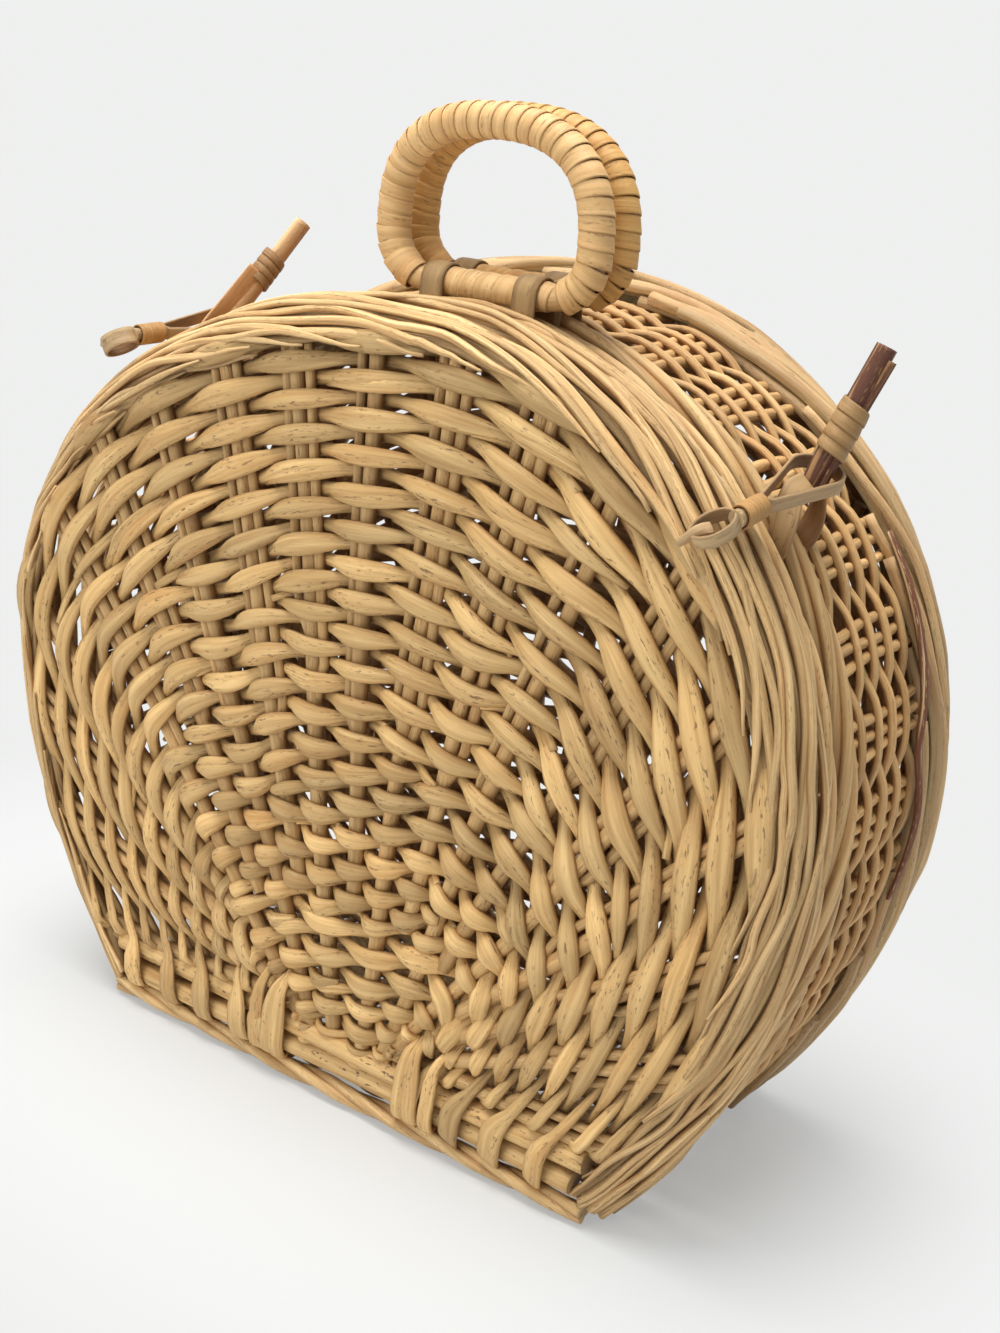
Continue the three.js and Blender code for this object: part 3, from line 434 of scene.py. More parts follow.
RIGHT_WRAPS = (4, 8, 12, 17, 19)
LEFT_WRAPS = (3, 5, 9, 14, 17, 19)
WRAP_WIDTH = 0.0042
ROW_END_DEPTHS = (0.0050, 0.0062, 0.0062, 0.0035, -0.0035, -0.0064, -0.0064)
ROW_END_HEIGHTS = (0.031, 0.0225, 0.0138, 0.0085, 0.0085, 0.0145, 0.0215)
ROW_END_LEANS = {1: 0.011, -1: 0.004}
ROW_END_SPREAD = (0.3, 1.0)
ROW_END_DROP = 0.003


def row_weights(share):
    """How wide each row is at each place across the fan, as a share of a full row: short rows fade to nothing
    on their side, in pairs so that over and under still alternate."""
    weights = np.ones((ROWS, len(share)))
    weights[:FIRST_ROWS] = FIRST_ROW_WEIGHT
    for pairs, distance in ((RIGHT_SHORT_PAIRS, share), (LEFT_SHORT_PAIRS, 1 - share)):
        for pair, end in pairs.items():
            for row in (2 * pair, 2 * pair + 1):
                own = end + chance.uniform(-SHORT_SCATTER, SHORT_SCATTER)
                weights[row] *= ease((distance - own) / SHORT_FADE)
    return weights


def row_end(point, side, front, facing, depth):
    """Path of a row's end: from the last stake down over the base sticks, and round under them to the
    back."""
    y, z = facing * np.array(ROW_END_DEPTHS), np.array(ROW_END_HEIGHTS)
    if not front or abs(point[0]) > STICK_HALF_LENGTHS[0]:
        y, z = -y[:2], z[:2]
    x = point[0] - side * ROW_END_LEANS[side] * np.linspace(*ROW_END_SPREAD, len(z))
    below = z < point[2] - ROW_END_DROP
    return np.stack([x, SEAM + depth + y, z], -1)[below]


def face_weavers(depth, facing, sides):
    """Rows of the face: between stakes each row swings from front to back as a cosine of the stake count, and
    lies across its stakes at the height that the rows below it, added up, leave for it. It is broad where it
    passes over a stake and narrow where it dives between two."""
    count = (STAKES - 1) * STEPS_PER_STAKE + 1
    stake = np.linspace(0, STAKES - 1, count)
    weights = row_weights(stake / (STAKES - 1))
    total = weights.sum(0)
    reaches = (np.cumsum(weights, 0) - weights / 2) / total
    length = np.linalg.norm(fan_point(stake, 1.0, 0) - fan_point(stake, 0.0, 0), axis=1)
    pitch = length / total
    inward = np.minimum(stake, STAKES - 1 - stake) / SLIM_STAKES
    slim = WEAVER_SLIM + (1 - WEAVER_SLIM) * ease(inward)
    lap = int(JOINT_LAP * STEPS_PER_STAKE)
    least = LEAST_ROD_STAKES * STEPS_PER_STAKE
    at_stakes = np.arange(JOINTS_FROM_EDGE, STAKES - JOINTS_FROM_EDGE)
    rods = []
    for row in range(ROWS):
        used = np.flatnonzero(weights[row] > LEAST_WEIGHT)
        passed = 2 if row < FINE_ROWS else 1
        swing = np.cos(np.pi * (stake / passed + row))
        drift = ROW_DRIFT * np.sin(stake * chance.uniform(*ROW_DRIFT_WAVES) + phase())
        number = chance.integers(1, 3)
        joints = np.sort(chance.choice(at_stakes, number, replace=False)) * STEPS_PER_STAKE
        breaks = [used[0], *[j for j in joints if used[0] + least < j < used[-1] - least], used[-1]]
        for begin, finish in zip(breaks[:-1], breaks[1:]):
            low = max(begin - (lap if begin != used[0] else 0), 0)
            high = min(finish + (lap if finish != used[-1] else 0), count - 1)
            span = np.arange(low, high + 1)
            enter = ease((span - low) / (JOINT_TAPER * lap)) if begin != used[0] else np.ones(len(span))
            leave = ease((high - span) / (JOINT_TAPER * lap)) if finish != used[-1] else np.ones(len(span))
            shift = drift[span] + JOINT_SHIFT * pitch[span] * ((1 - enter) - (1 - leave))
            reach = reaches[row, span] + shift / length[span]
            path = fan_point(stake[span], reach, depth)
            path[:, 1] += facing * WEAVER_LIFT * swing[span]
            size = slim[span] * weights[row, span] ** WEAVER_WEIGHT_POWER
            size = size * (0.55 + 0.45 * enter) * (0.45 + 0.55 * leave)
            swell = WEAVER_SWELL * np.maximum(swing[span], 0) ** WEAVER_SWELL_POWER
            width = pitch[span] * size * (WEAVER_WAIST + swell)
            before, after = (fan_point(stake[span] + half, reach, 0) for half in (-0.5, 0.5))
            room = np.linalg.norm(after - before, axis=1)
            width = np.minimum(width, WEAVER_ROOM * room * passed)
            thick = np.minimum(WEAVER_THICKNESS * pitch[span] * size, WEAVER_ROUNDNESS * width)
            for side, wrapping, at_edge in ((-1, LEFT_WRAPS, high == count - 1), (1, RIGHT_WRAPS, low == 0)):
                if at_edge:
                    wraps = row % 2 == 0 and row // 2 in wrapping
                    path, width, thick = path[::-side], width[::-side], thick[::-side]
                    tail = row_end(path[-1], side, wraps, facing, depth)
                    broad = np.full(len(tail), max(width[-1], WRAP_WIDTH if wraps else 0))
                    path = np.vstack([path, tail])[::-side]
                    width = np.r_[width, broad][::-side]
                    thick = np.r_[thick, np.full(len(tail), thick[-1])][::-side]
            fine = int(WEAVER_SMOOTHING * len(path))
            chord = distance_along(path)
            where = np.linspace(0, chord[-1], fine)
            lumps = knobbly(fine, *WEAVER_LUMPS)
            width = np.interp(where, chord, width) * lumps
            thick = np.interp(where, chord, thick) * lumps
            path = through(path, fine)
            rods.append(rod(path, (0, facing, 0), width, thick, chance.beta(*WEAVER_TONES), sides))
    return rods


PAIRING_ROWS = 5
PAIRING_STAKES = (13.4, 4.6)
PAIRING_GROWTH = 0.25
PAIRING_STEP = 0.0026
PAIRING_FOOT = 0.0195
PAIRING_LIFT = 0.0034
PAIRING_SECTION = (0.0015, 0.0012)
PAIRING_TONES = (0.3, 0.8)


def pairing_rows(depth, facing):
    """Fine rows at the foot of the fan: each swings over and under the middle stakes as a cosine of the stake
    count, a little wider than the row below it."""
    rods = []
    for row in range(PAIRING_ROWS):
        grown = PAIRING_GROWTH * row
        stake = np.linspace(PAIRING_STAKES[0] + grown, PAIRING_STAKES[1] - grown, 44)
        swing = np.cos(np.pi * (stake / 2 + row))
        path = fan_point(stake, 0.0, depth)
        path[:, 2] = PAIRING_FOOT + PAIRING_STEP * row
        path[:, 1] += facing * PAIRING_LIFT * swing
        rods.append(rod(path, (0, facing, 0), *PAIRING_SECTION, chance.uniform(*PAIRING_TONES), 8))
    return rods


FOOT_WRAPS = (-0.0335, -0.0280, -0.0232, 0.0330, 0.0385, 0.0440)
FOOT_HEIGHTS = (0.0415, 0.037, 0.0305, 0.0225, 0.0138, 0.0085, 0.0085, 0.0145, 0.0215)
FOOT_DEPTHS = (0.0012, 0.0058, 0.0068, 0.0066, 0.0064, 0.0036, -0.0036, -0.0064, -0.0064)
FOOT_LEAN = 0.004
FOOT_LEAN_SCATTER = (-0.003, 0.004)
FOOT_TOP_SCATTER = (-0.003, 0.003)
FOOT_WIDTHS = (0.0027, 0.0034)
FOOT_THICKNESS = 0.0011
FOOT_FACING_X = 0.15
FOOT_STEPS = 34
FOOT_TONES = (0.3, 0.9)


def foot_wraps(depth, facing):
    """Flat strips beside the foot of the fan: each comes down from the weave, goes over both base sticks and
    turns up behind them."""
    rods = []
    tip = 0.45 + 0.55 * ease(np.linspace(0, 3, FOOT_STEPS))
    for x in FOOT_WRAPS:
        lean = FOOT_LEAN + chance.uniform(*FOOT_LEAN_SCATTER)
        across = x + np.linspace(1, 0, len(FOOT_HEIGHTS)) ** 2 * lean
        heights = np.array(FOOT_HEIGHTS)
        heights[0] += chance.uniform(*FOOT_TOP_SCATTER)
        points = np.stack([across, SEAM + depth + facing * np.array(FOOT_DEPTHS), heights], -1)
        path = through(points, FOOT_STEPS)
        width = chance.uniform(*FOOT_WIDTHS) * knobbly(FOOT_STEPS) * tip
        turned = (FOOT_FACING_X, facing, 0.001)
        rods.append(rod(path, turned, width, FOOT_THICKNESS, chance.uniform(*FOOT_TONES), 10, flat=0.8))
    return rods


face_willow = willow("face_willow", WILLOW_PALE, WILLOW_DEEP)
lid_weavers = face_weavers(FACE_MIDDLE, -1, 10) + pairing_rows(FACE_MIDDLE, -1) + foot_wraps(FACE_MIDDLE, -1)
woven("lid_face_weavers", lid_weavers, face_willow, "lid", ["lid_panel_weave"])

# Twisted border along the bottom of the face: three thin peeled rods laid round each other from corner to
# corner. It closes the lower edge of the lid in front of the floor.
FACE_BORDER_DEPTH = -0.0277
BORDER = {"half": 0.1075, "count": 150, "height": 0.0043, "spread": 0.0016, "radius": 0.0021,
          "tones": (0.35, 0.8)}
ROPE_TURN = 0.09
ROPE_LUMPS = (0.9, 1.1)
TO_BACK = np.array([0, 1.0, 0])
UP = np.array([0, 0, 1.0])


def twisted(path, first, second, spread, radius, turn, strands, tones):
    """Rope of rods: each strand circles the path in the plane of two directions, once in every `turn`
    metres."""
    along = distance_along(path)
    rods = []
    for i in range(strands):
        angle = 2 * np.pi * (along / turn + i / strands)
        out = first * np.cos(angle)[:, None] + second * np.sin(angle)[:, None]
        thick = radius * knobbly(len(path), *ROPE_LUMPS)
        rods.append(rod(path + out * spread, out, thick, thick, chance.uniform(*tones), 8))
    return rods


def straight_rope(depth, half, count, height, spread, radius, tones):
    """Three strands twisted along X, at a depth behind the seam."""
    x = np.linspace(-half, half, count)
    path = np.stack([x, np.full(count, SEAM + depth), np.full(count, height)], -1)
    return twisted(path, TO_BACK, UP, spread, radius, ROPE_TURN, 3, tones)


rim_willow = willow("rim_willow", (0.78, 0.54, 0.255, 1), (0.52, 0.31, 0.12, 1), specks=0.6)
lid_border = straight_rope(FACE_BORDER_DEPTH, **BORDER)
woven("lid_bottom_border", lid_border, rim_willow, "lid", ["lid_bottom_edge"])

# Edge of the lid: a band of long fine willow strands that roll over from the face to the seam.
# Each strand drifts across the band with small kinks as it goes round the D, over a closer layer underneath.
LID_BAND = ((-0.0335, -0.0135), (-0.0325, -0.0095), (-0.0305, -0.0048), (-0.0268, -0.0008), (-0.0215, 0.0024),
            (-0.0158, 0.0026), (-0.0118, 0.0006))
LID_OUTER = {"radius": 0.00135, "length": 0.24, "step": 0.0245, "sink": 0.0, "spread": 0.0020,
             "tones": (0.25, 1.0)}
# The inner layer's low tones are painted shade for the strands that lie under the outer ones.
LID_INNER = {"radius": 0.0015, "length": 0.31, "step": 0.036, "sink": 0.0034, "spread": 0.0010,
             "tones": (0.0, 0.35)}
STRAND_FOOT = 0.0024
STRAND_STEP = 0.0042
STRAND_TIP = 0.03
STRAND_LENGTHS = (0.86, 1.14)
STRAND_STARTS = (0, 0.06)
STRAND_ENDS = (0.96, 1.03)
STRAND_SIZES = (0.82, 1.2)
STRAND_LUMPS = (0.85, 1.15)
STRAND_OVAL = (1.06, 0.96)
FEWEST_STEPS = 6
KINK_STEP = 0.017
KINK = 0.0019
DIP_STEPS = 12
CROWN_PLACE = 0.41
CROWN_SPREAD = 0.08


def band_strands(section, radius, length, step, sink, spread, tones, crown=0.0):
    """Strands on a band round the D: the band's section is a polyline of depth and lift, and a strand crosses
    it evenly from its last point to its first while it goes `length` round the D. Strands start `step` apart,
    bend at random kinks, and lie `sink` under the band's surface, by up to `spread` more. The band rises by
    `crown` in a bell curve round the top of the D."""
    section = np.array(section)
    across = distance_along(section)
    slope = unit(np.gradient(section, axis=0))
    rods = []
    for end in np.arange(-length, ARCH_LENGTH, step):
        own = length * chance.uniform(*STRAND_LENGTHS)
        count = int(own / STRAND_STEP)
        place = np.linspace(end, end + own, count)
        kinks = wavering(-1, 1, int(own / KINK_STEP) + 2, count)
        start, stop = chance.uniform(*STRAND_STARTS), chance.uniform(*STRAND_ENDS)
        at = np.linspace(start, stop, count) * across[-1] + KINK * kinks
        inside = (place > STRAND_FOOT) & (place < ARCH_LENGTH - STRAND_FOOT)
        thick = radius * chance.uniform(*STRAND_SIZES) * knobbly(count, *STRAND_LUMPS)
        thick = thick * (0.35 + 0.65 * ease((place - end) / STRAND_TIP))
        deep = sink + spread * (0.5 + 0.5 * wavering(-1, 1, count // DIP_STEPS + 3, count))
        if inside.sum() < FEWEST_STEPS:
            continue
        place, at, thick, deep = (values[inside] for values in (place, at, thick, deep))
        at = np.clip(at, 0, across[-1])
        depth, lift = np.interp(at, across, section[:, 0]), np.interp(at, across, section[:, 1])
        normal = np.stack([-np.interp(at, across, slope[:, 1]), np.interp(at, across, slope[:, 0])], -1)
        lift = lift + crown * np.exp(-(((place - CROWN_PLACE) / CROWN_SPREAD) ** 2))
        under = thick + deep
        lift = lift - under * np.abs(normal[:, 1])
        path = on_arch(place, lift, depth - under * normal[:, 0] * np.sign(normal[:, 1]))
        facing = arch_out(place) * normal[:, 1:] + TO_BACK * normal[:, :1]
        width, height = STRAND_OVAL[0] * thick, STRAND_OVAL[1] * thick
        rods.append(rod(path, facing, width, height, chance.uniform(*tones), 8))
    return rods


lid_strands = band_strands(LID_BAND, **LID_INNER) + band_strands(LID_BAND, **LID_OUTER)
lid_wale = willow("lid_wale", (0.84, 0.585, 0.28, 1), (0.42, 0.24, 0.085, 1), specks=0.7)
woven("lid_edge_strands", lid_strands, lid_wale, "lid", ["lid_edge_wale"])

# Rim border of the lid: a bundle of fine strands twisted together, which lies along the seam.
# The ties of the front handle go round it.
RIM_DEPTH = 0.007
RIM_SINK = 0.0046
RIM_STRAND = 0.0021
RIM_SPREAD = 0.0024
RIM_TURN = 0.15
RIM_END = 0.004
RIM_STEPS = 330
RIM_TONES = (0.4, 0.9)


def rim_border(depth):
    """Four strands twisted along the D just inside its outline."""
    place = np.linspace(RIM_END, ARCH_LENGTH - RIM_END, RIM_STEPS)
    path = on_arch(place, -RIM_SINK, depth)
    return twisted(path, arch_out(place), TO_BACK, RIM_SPREAD, RIM_STRAND, RIM_TURN, 4, RIM_TONES)


woven("lid_rim_border", rim_border(-RIM_DEPTH), rim_willow, "lid")

# Floor of the lid: a narrow strip of fine rods behind the bottom border, and the twisted rod that the hinge
# loops hold. Both are hidden in the photograph.
FLOOR_ROD_HEIGHT = 0.0066
FLOOR_ROD = {"half": 0.105, "count": 110, "height": FLOOR_ROD_HEIGHT, "spread": 0.0023, "radius": 0.0022,
             "tones": (0.3, 0.7)}
FLOOR_HALF = 0.104
FLOOR_STAKE_INSET = 0.006
FLOOR_STAKE_REACH = 0.003
FLOOR_STAKE_STEPS = 8
FLOOR_STAKE_TONES = (0.2, 0.6)
FLOOR_BEND_STEPS = 5
FLOOR_WEAVER_OVAL = 1.3
FLOOR_WEAVER_TONES = (0.25, 0.7)
LID_FLOOR_DEPTHS = (-0.0152, -0.0205)
LID_FLOOR = {"height": 0.0056, "stakes": 15, "stake_radius": 0.0010, "lift": 0.0013, "radius": 0.0012}
floor_willow = willow("floor_willow", (0.66, 0.45, 0.22, 1), (0.44, 0.27, 0.115, 1))


def floor_weave(depths, height, stakes, stake_radius, lift, radius):
    """Rods along X that swing over and under short stakes along Y, in turn."""
    rods = []
    stake_x = np.linspace(-FLOOR_HALF + FLOOR_STAKE_INSET, FLOOR_HALF - FLOOR_STAKE_INSET, stakes)
    y = np.linspace(depths[0] - FLOOR_STAKE_REACH, depths[-1] + FLOOR_STAKE_REACH, FLOOR_STAKE_STEPS)
    for x in stake_x:
        path = np.stack([np.full(FLOOR_STAKE_STEPS, x), SEAM + y, np.full(FLOOR_STAKE_STEPS, height)], -1)
        rods.append(rod(path, UP, stake_radius, stake_radius, chance.uniform(*FLOOR_STAKE_TONES), 8))
    count = (stakes - 1) * FLOOR_BEND_STEPS + 1
    x = np.linspace(-FLOOR_HALF, FLOOR_HALF, count)
    pitch = stake_x[1] - stake_x[0]
    for i, depth in enumerate(depths):
        z = height + lift * np.cos(np.pi * ((x - stake_x[0]) / pitch + i))
        path = np.stack([x, np.full(count, SEAM + depth), z], -1)
        rods.append(rod(path, UP, radius * FLOOR_WEAVER_OVAL, radius, chance.uniform(*FLOOR_WEAVER_TONES), 8))
    return rods


lid_floor = floor_weave(LID_FLOOR_DEPTHS, **LID_FLOOR)
woven("lid_floor_strip", lid_floor, floor_willow, "lid", ["lid_floor_weave"])
woven("lid_floor_rod", straight_rope(-RIM_DEPTH, **FLOOR_ROD), rim_willow, "lid")

# Back of the rear half: willow base sticks, fan stakes and weavers worked as on the face, and a twisted
# bottom border. The photograph doesn't show it, so it follows the face.
BACK_MIDDLE = 0.0785
BACK_BORDER_DEPTH = 0.0797
back_willow = willow("back_willow", (0.69, 0.475, 0.22, 1), (0.45, 0.27, 0.1, 1))
for i, (z, half) in enumerate(zip(STICK_HEIGHTS, STICK_HALF_LENGTHS)):
    stick = base_stick(BACK_MIDDLE, z, half, (0, 1, 0))
    woven(f"body_base_stick_{i + 1}", [stick], back_willow, "basket_body")
body_stake_nodes = [f"body_fan_stake_{i}" for i in STAKE_NODES]
body_stakes = fan_stakes(BACK_MIDDLE, (0, 1, 0))
woven("body_fan_stakes", body_stakes, stake_willow, "basket_body", body_stake_nodes)
back_weavers = face_weavers(BACK_MIDDLE, 1, 8)
woven("body_back_weavers", back_weavers, back_willow, "basket_body", ["body_panel_weave"])
back_border = straight_rope(BACK_BORDER_DEPTH, **BORDER)
woven("body_bottom_border", back_border, rim_willow, "basket_body", ["body_bottom_edge"])

# Side wall of the rear half: fine tan weavers that run round the D, over and under bunches of three thin
# stakes. The stakes run from the seam to the back, and light shows between the rods.
SIDE_ROWS = 8
SIDE_FIRST = 0.0160
SIDE_STEP = 0.0053
SIDE_END = 0.002
SIDE_SINK = 0.0042
SIDE_LIFT = 0.0021
SIDE_ZIGZAG = 0.0008
SIDE_DRIFT = 0.0008
SIDE_WEAVER = 0.0015
SIDE_WEAVER_LUMPS = (0.85, 1.15)
SIDE_WEAVER_OVAL = (1.12, 0.9)
SIDE_WEAVER_TONES = (0.2, 0.8)
SIDE_BEND = 1.5
BUNCH_FIRST = 0.0163
BUNCH_LAST = 0.008
BUNCH_STEP = 0.02795
BUNCH_BEND_STEPS = 8
BUNCH_STAKES = 3
BUNCH_DEPTHS = (0.006, 0.0695)
BUNCH_STEPS = 12
BUNCH_SPACING = 0.0052
BUNCH_WAVE = 120
BUNCH_DIP = 0.0016
BUNCH_DIP_START = 0.055
BUNCH_DIP_LENGTH = 0.014
SIDE_STAKE = 0.0018
SIDE_STAKE_TONES = (0.35, 0.85)


def side_wall():
    """Weavers as cosines of the bunch count along the D, squared by a hyperbolic tangent so that they run
    straight between bunches, and straight stakes along the depth in bunches."""
    bunches = np.arange(BUNCH_FIRST, ARCH_LENGTH - BUNCH_LAST, BUNCH_STEP)
    depth = np.linspace(*BUNCH_DEPTHS, BUNCH_STEPS)
    lift = -SIDE_SINK - BUNCH_DIP * ease((depth - BUNCH_DIP_START) / BUNCH_DIP_LENGTH)
    rods = []
    for bunch in bunches:
        for k in range(BUNCH_STAKES):
            place = np.full(BUNCH_STEPS, bunch + BUNCH_SPACING * (k - 1))
            place = place + SIDE_DRIFT * np.sin(depth * BUNCH_WAVE + phase())
            path = on_arch(place, lift, depth)
            thick = SIDE_STAKE * knobbly(BUNCH_STEPS, *ROPE_LUMPS)
            rods.append(rod(path, arch_out(place), thick, thick, chance.uniform(*SIDE_STAKE_TONES), 8))
    count = int(ARCH_LENGTH / BUNCH_STEP * BUNCH_BEND_STEPS)
    place = np.linspace(SIDE_END, ARCH_LENGTH - SIDE_END, count)
    for row in range(SIDE_ROWS):
        turn = np.pi * ((place - bunches[0]) / BUNCH_STEP + row)
        swing = np.tanh(SIDE_BEND * np.cos(turn)) / np.tanh(SIDE_BEND)
        drift = SIDE_DRIFT * np.sin(place * chance.uniform(9, 30) + phase()) + SIDE_ZIGZAG * np.sin(turn)
        path = on_arch(place, -SIDE_SINK + SIDE_LIFT * swing, SIDE_FIRST + SIDE_STEP * row + drift)
        thick = SIDE_WEAVER * knobbly(count, *SIDE_WEAVER_LUMPS)
        width, height = SIDE_WEAVER_OVAL[0] * thick, SIDE_WEAVER_OVAL[1] * thick
        rods.append(rod(path, arch_out(place), width, height, chance.uniform(*SIDE_WEAVER_TONES), 8))
    return rods


side_willow = willow("side_willow", (0.755, 0.475, 0.205, 1), (0.44, 0.255, 0.092, 1), specks=0.6)
woven("body_side_wall", side_wall(), side_willow, "basket_body", ["body_side_weave"])

# Back edge: pale willow strands rolled over from the side wall to the back, laid in like the strands of the
# lid's edge but more loosely. Their colour is paler than the lid's edge: partly the willow's own and partly
# painted light on a flank that the lamps barely reach. One short strand at the right is still in its
# red-brown bark.
BACK_BAND = ((0.0845, -0.0125), (0.0832, -0.0070), (0.0795, -0.0012), (0.0735, 0.0030), (0.0670, 0.0042),
             (0.0605, 0.0032), (0.0555, 0.0008))
BACK_OUTER = {"radius": 0.0018, "length": 0.25, "step": 0.031, "sink": 0.0, "spread": 0.0018,
              "tones": (0.3, 1.0)}
# The inner layer's low tones are painted shade for the strands that lie under the outer ones.
BACK_INNER = {"radius": 0.0019, "length": 0.40, "step": 0.075, "sink": 0.0032, "spread": 0.0012,
              "tones": (0.0, 0.3)}
BACK_CROWN = 0.0045
BARK_PLACES = (0.240, 0.218, 0.192, 0.172, 0.150, 0.118)
BARK_DEPTHS = (0.0590, 0.0560, 0.0535, 0.0510, 0.0525, 0.0550)
BARK_LIFTS = (0.0012, 0.0024, 0.0020, 0.0004, 0.0018, -0.0004)
BARK_WIDTH = 0.0021
BARK_FLATNESS = 0.6
BARK_LUMPS = (0.7, 1.25)
BARK_STEPS = 46
# Pale colours partly painted light: raised above the lid's edge strands for the flank that the lamps barely
# reach.
back_wale = willow("back_wale", (0.99, 0.87, 0.53, 1), (0.75, 0.52, 0.26, 1), bark=(0.17, 0.055, 0.022, 1))
back_strands = band_strands(BACK_BAND, crown=BACK_CROWN, **BACK_INNER)
back_strands += band_strands(BACK_BAND, crown=BACK_CROWN, **BACK_OUTER)
places, depths, lifts = through(np.stack([BARK_PLACES, BARK_DEPTHS, BARK_LIFTS], -1), BARK_STEPS).T
taper = 0.3 + 0.7 * np.sin(np.linspace(0.1, np.pi - 0.1, BARK_STEPS)) ** 0.5
width = BARK_WIDTH * knobbly(BARK_STEPS, *BARK_LUMPS) * taper
bark_path = on_arch(places, lifts, depths)
back_strands.append(rod(bark_path, arch_out(places), width, BARK_FLATNESS * width, bark=1.0))
woven("body_edge_strands", back_strands, back_wale, "basket_body", ["body_edge_wale"])

# Rim border, floor and floor rod of the rear half: a twisted bundle at the seam, a flat floor of rods woven
# on short stakes that the basket stands on, and the rod that the hinge loops go round.
BODY_FLOOR_DEPTHS = np.linspace(0.0165, 0.0718, 11)
BODY_FLOOR = {"height": 0.0041, "stakes": 17, "stake_radius": 0.0017, "lift": 0.0020, "radius": 0.0020}
woven("body_rim_border", rim_border(RIM_DEPTH), rim_willow, "basket_body")
body_floor = floor_weave(BODY_FLOOR_DEPTHS, **BODY_FLOOR)
woven("body_floor", body_floor, floor_willow, "basket_body", ["body_floor_weave"])
woven("body_floor_rod", straight_rope(RIM_DEPTH, **FLOOR_ROD), rim_willow, "basket_body")

# Hinge loops: three flat strips of cane bent round both floor rods.
# They hold the lid to the rear half along the bottom of the seam, where the photograph doesn't reach.
LOOP_PLACES = {"left": -0.072, "middle": 0.0, "right": 0.072}
LOOP_RADIUS = 0.0055
LOOP_WIDTH = 0.003
LOOP_THICKNESS = 0.0005
ACROSS_X = np.array([[0, 1.0, 0], [0, 0, 1.0], [1.0, 0, 0]])


def link(first, first_radius, second, second_radius, count):
    """Closed outline round two circles in a plane: an arc of each circle, joined by their tangents."""
    first, second = np.array(first, float), np.array(second, float)
    along = first - second
    heading = np.arctan2(along[1], along[0])
    tilt = np.arcsin((second_radius - first_radius) / np.hypot(*along))
    right, left = heading - np.pi / 2 + tilt, heading + np.pi / 2 - tilt
    near = np.linspace(right, left, count)
    far = np.linspace(left, right + 2 * np.pi, count)
    corner = np.vstack([
        first + first_radius * np.stack([np.cos(near), np.sin(near)], -1),
        second + second_radius * np.stack([np.cos(far), np.sin(far)], -1),
    ])
    gap = np.linalg.norm(np.roll(corner, -1, 0) - corner, axis=1)
    line = np.r_[0, np.cumsum(gap)]
    even = np.linspace(0, line[-1], 3 * count, endpoint=False)
    ring = np.vstack([corner, corner[:1]])
    return np.stack([np.interp(even, line, ring[:, k]) for k in range(2)], -1)


def strip_link(outline, width, thick, place, axes, tone):
    """Strip bent along a closed outline: the outline lies in the plane of two axes, and the strip's width
    along the third."""
    path = place + outline @ np.array(axes[:2])
    middle = path.mean(0)
    tangent = unit(np.roll(path, -1, 0) - np.roll(path, 1, 0))
    out = np.cross(tangent, axes[2])
    out = out * np.sign(((path - middle) * out).sum(1, keepdims=True) + 1e-9)
    return rod(path, out, width, thick, tone, 12, closed=True, flat=0.45)


hinge_cane = willow("hinge_cane", (0.68, 0.44, 0.18, 1), (0.46, 0.27, 0.09, 1), specks=0.5)
front_circle, rear_circle = (-RIM_DEPTH, FLOOR_ROD_HEIGHT), (RIM_DEPTH, FLOOR_ROD_HEIGHT)
loop_outline = link(rear_circle, LOOP_RADIUS, front_circle, LOOP_RADIUS, 20)
for name, x in LOOP_PLACES.items():
    loop = strip_link(loop_outline, LOOP_WIDTH, LOOP_THICKNESS, np.array([x, SEAM, 0]), ACROSS_X, tone=0.6)
    woven(f"hinge_loop_{name}", [loop], hinge_cane, "basket_body")

# Ring handles: a bent willow rod closed into a D by a straight bar along the rim, and wrapped all over in
# cane strip. The front one is tied to the lid and the rear one to the rear half, so that they meet in one
# hand.
HANDLE_X = 0.032
HANDLE_Z = 0.2864
HANDLE_HALF = 0.03675
HANDLE_RISE = 0.0475
HANDLE_CORNER = 0.014
HANDLE_LEG = 0.0155
HANDLE_SQUARENESS = 0.8
CORNER_STEPS = 30
BOW_STEPS = 120
RING_STEPS = 90
BAR_STEPS = 24
ROD_RADIUS = 0.004
ARCH_WRAP = {"turns": 33, "width": 0.0026, "thick": 0.00028, "radius": 0.0050}
ARCH_WRAP_STEPS = 200
ARCH_WRAP_START = 6
BAR_WRAP = {"turns": 7, "width": 0.0035, "thick": 0.0003, "radius": 0.0042}
WRAP_UNEVENNESS = 0.05
WRAP_WAVES = (7.3, 2.9)


def handle_line(depth, count):
    """The handle's arch from its right foot to its left: a round corner, a short leg, half an oval with
    squared shoulders, and back."""
    corner = np.linspace(-np.pi / 2, 0, CORNER_STEPS)
    turn = np.linspace(0, np.pi, BOW_STEPS)
    foot = HANDLE_HALF - HANDLE_CORNER
    bow_x = np.sign(np.cos(turn)) * np.abs(np.cos(turn)) ** HANDLE_SQUARENESS
    bow_z = np.sin(turn) ** HANDLE_SQUARENESS
    x = np.r_[foot + HANDLE_CORNER * np.cos(corner), HANDLE_HALF * bow_x]
    z = np.r_[HANDLE_CORNER * (1 + np.sin(corner)), HANDLE_LEG + (HANDLE_RISE - HANDLE_LEG) * bow_z]
    x, z = np.r_[x, -x[:CORNER_STEPS][::-1]], np.r_[z, z[:CORNER_STEPS][::-1]]
    line = np.r_[0, np.cumsum(np.hypot(np.diff(x), np.diff(z)))]
    even = np.linspace(0, line[-1], count)
    x, z = HANDLE_X + np.interp(even, line, x), HANDLE_Z + np.interp(even, line, z)
    return np.stack([x, np.full(count, SEAM + depth), z], -1)


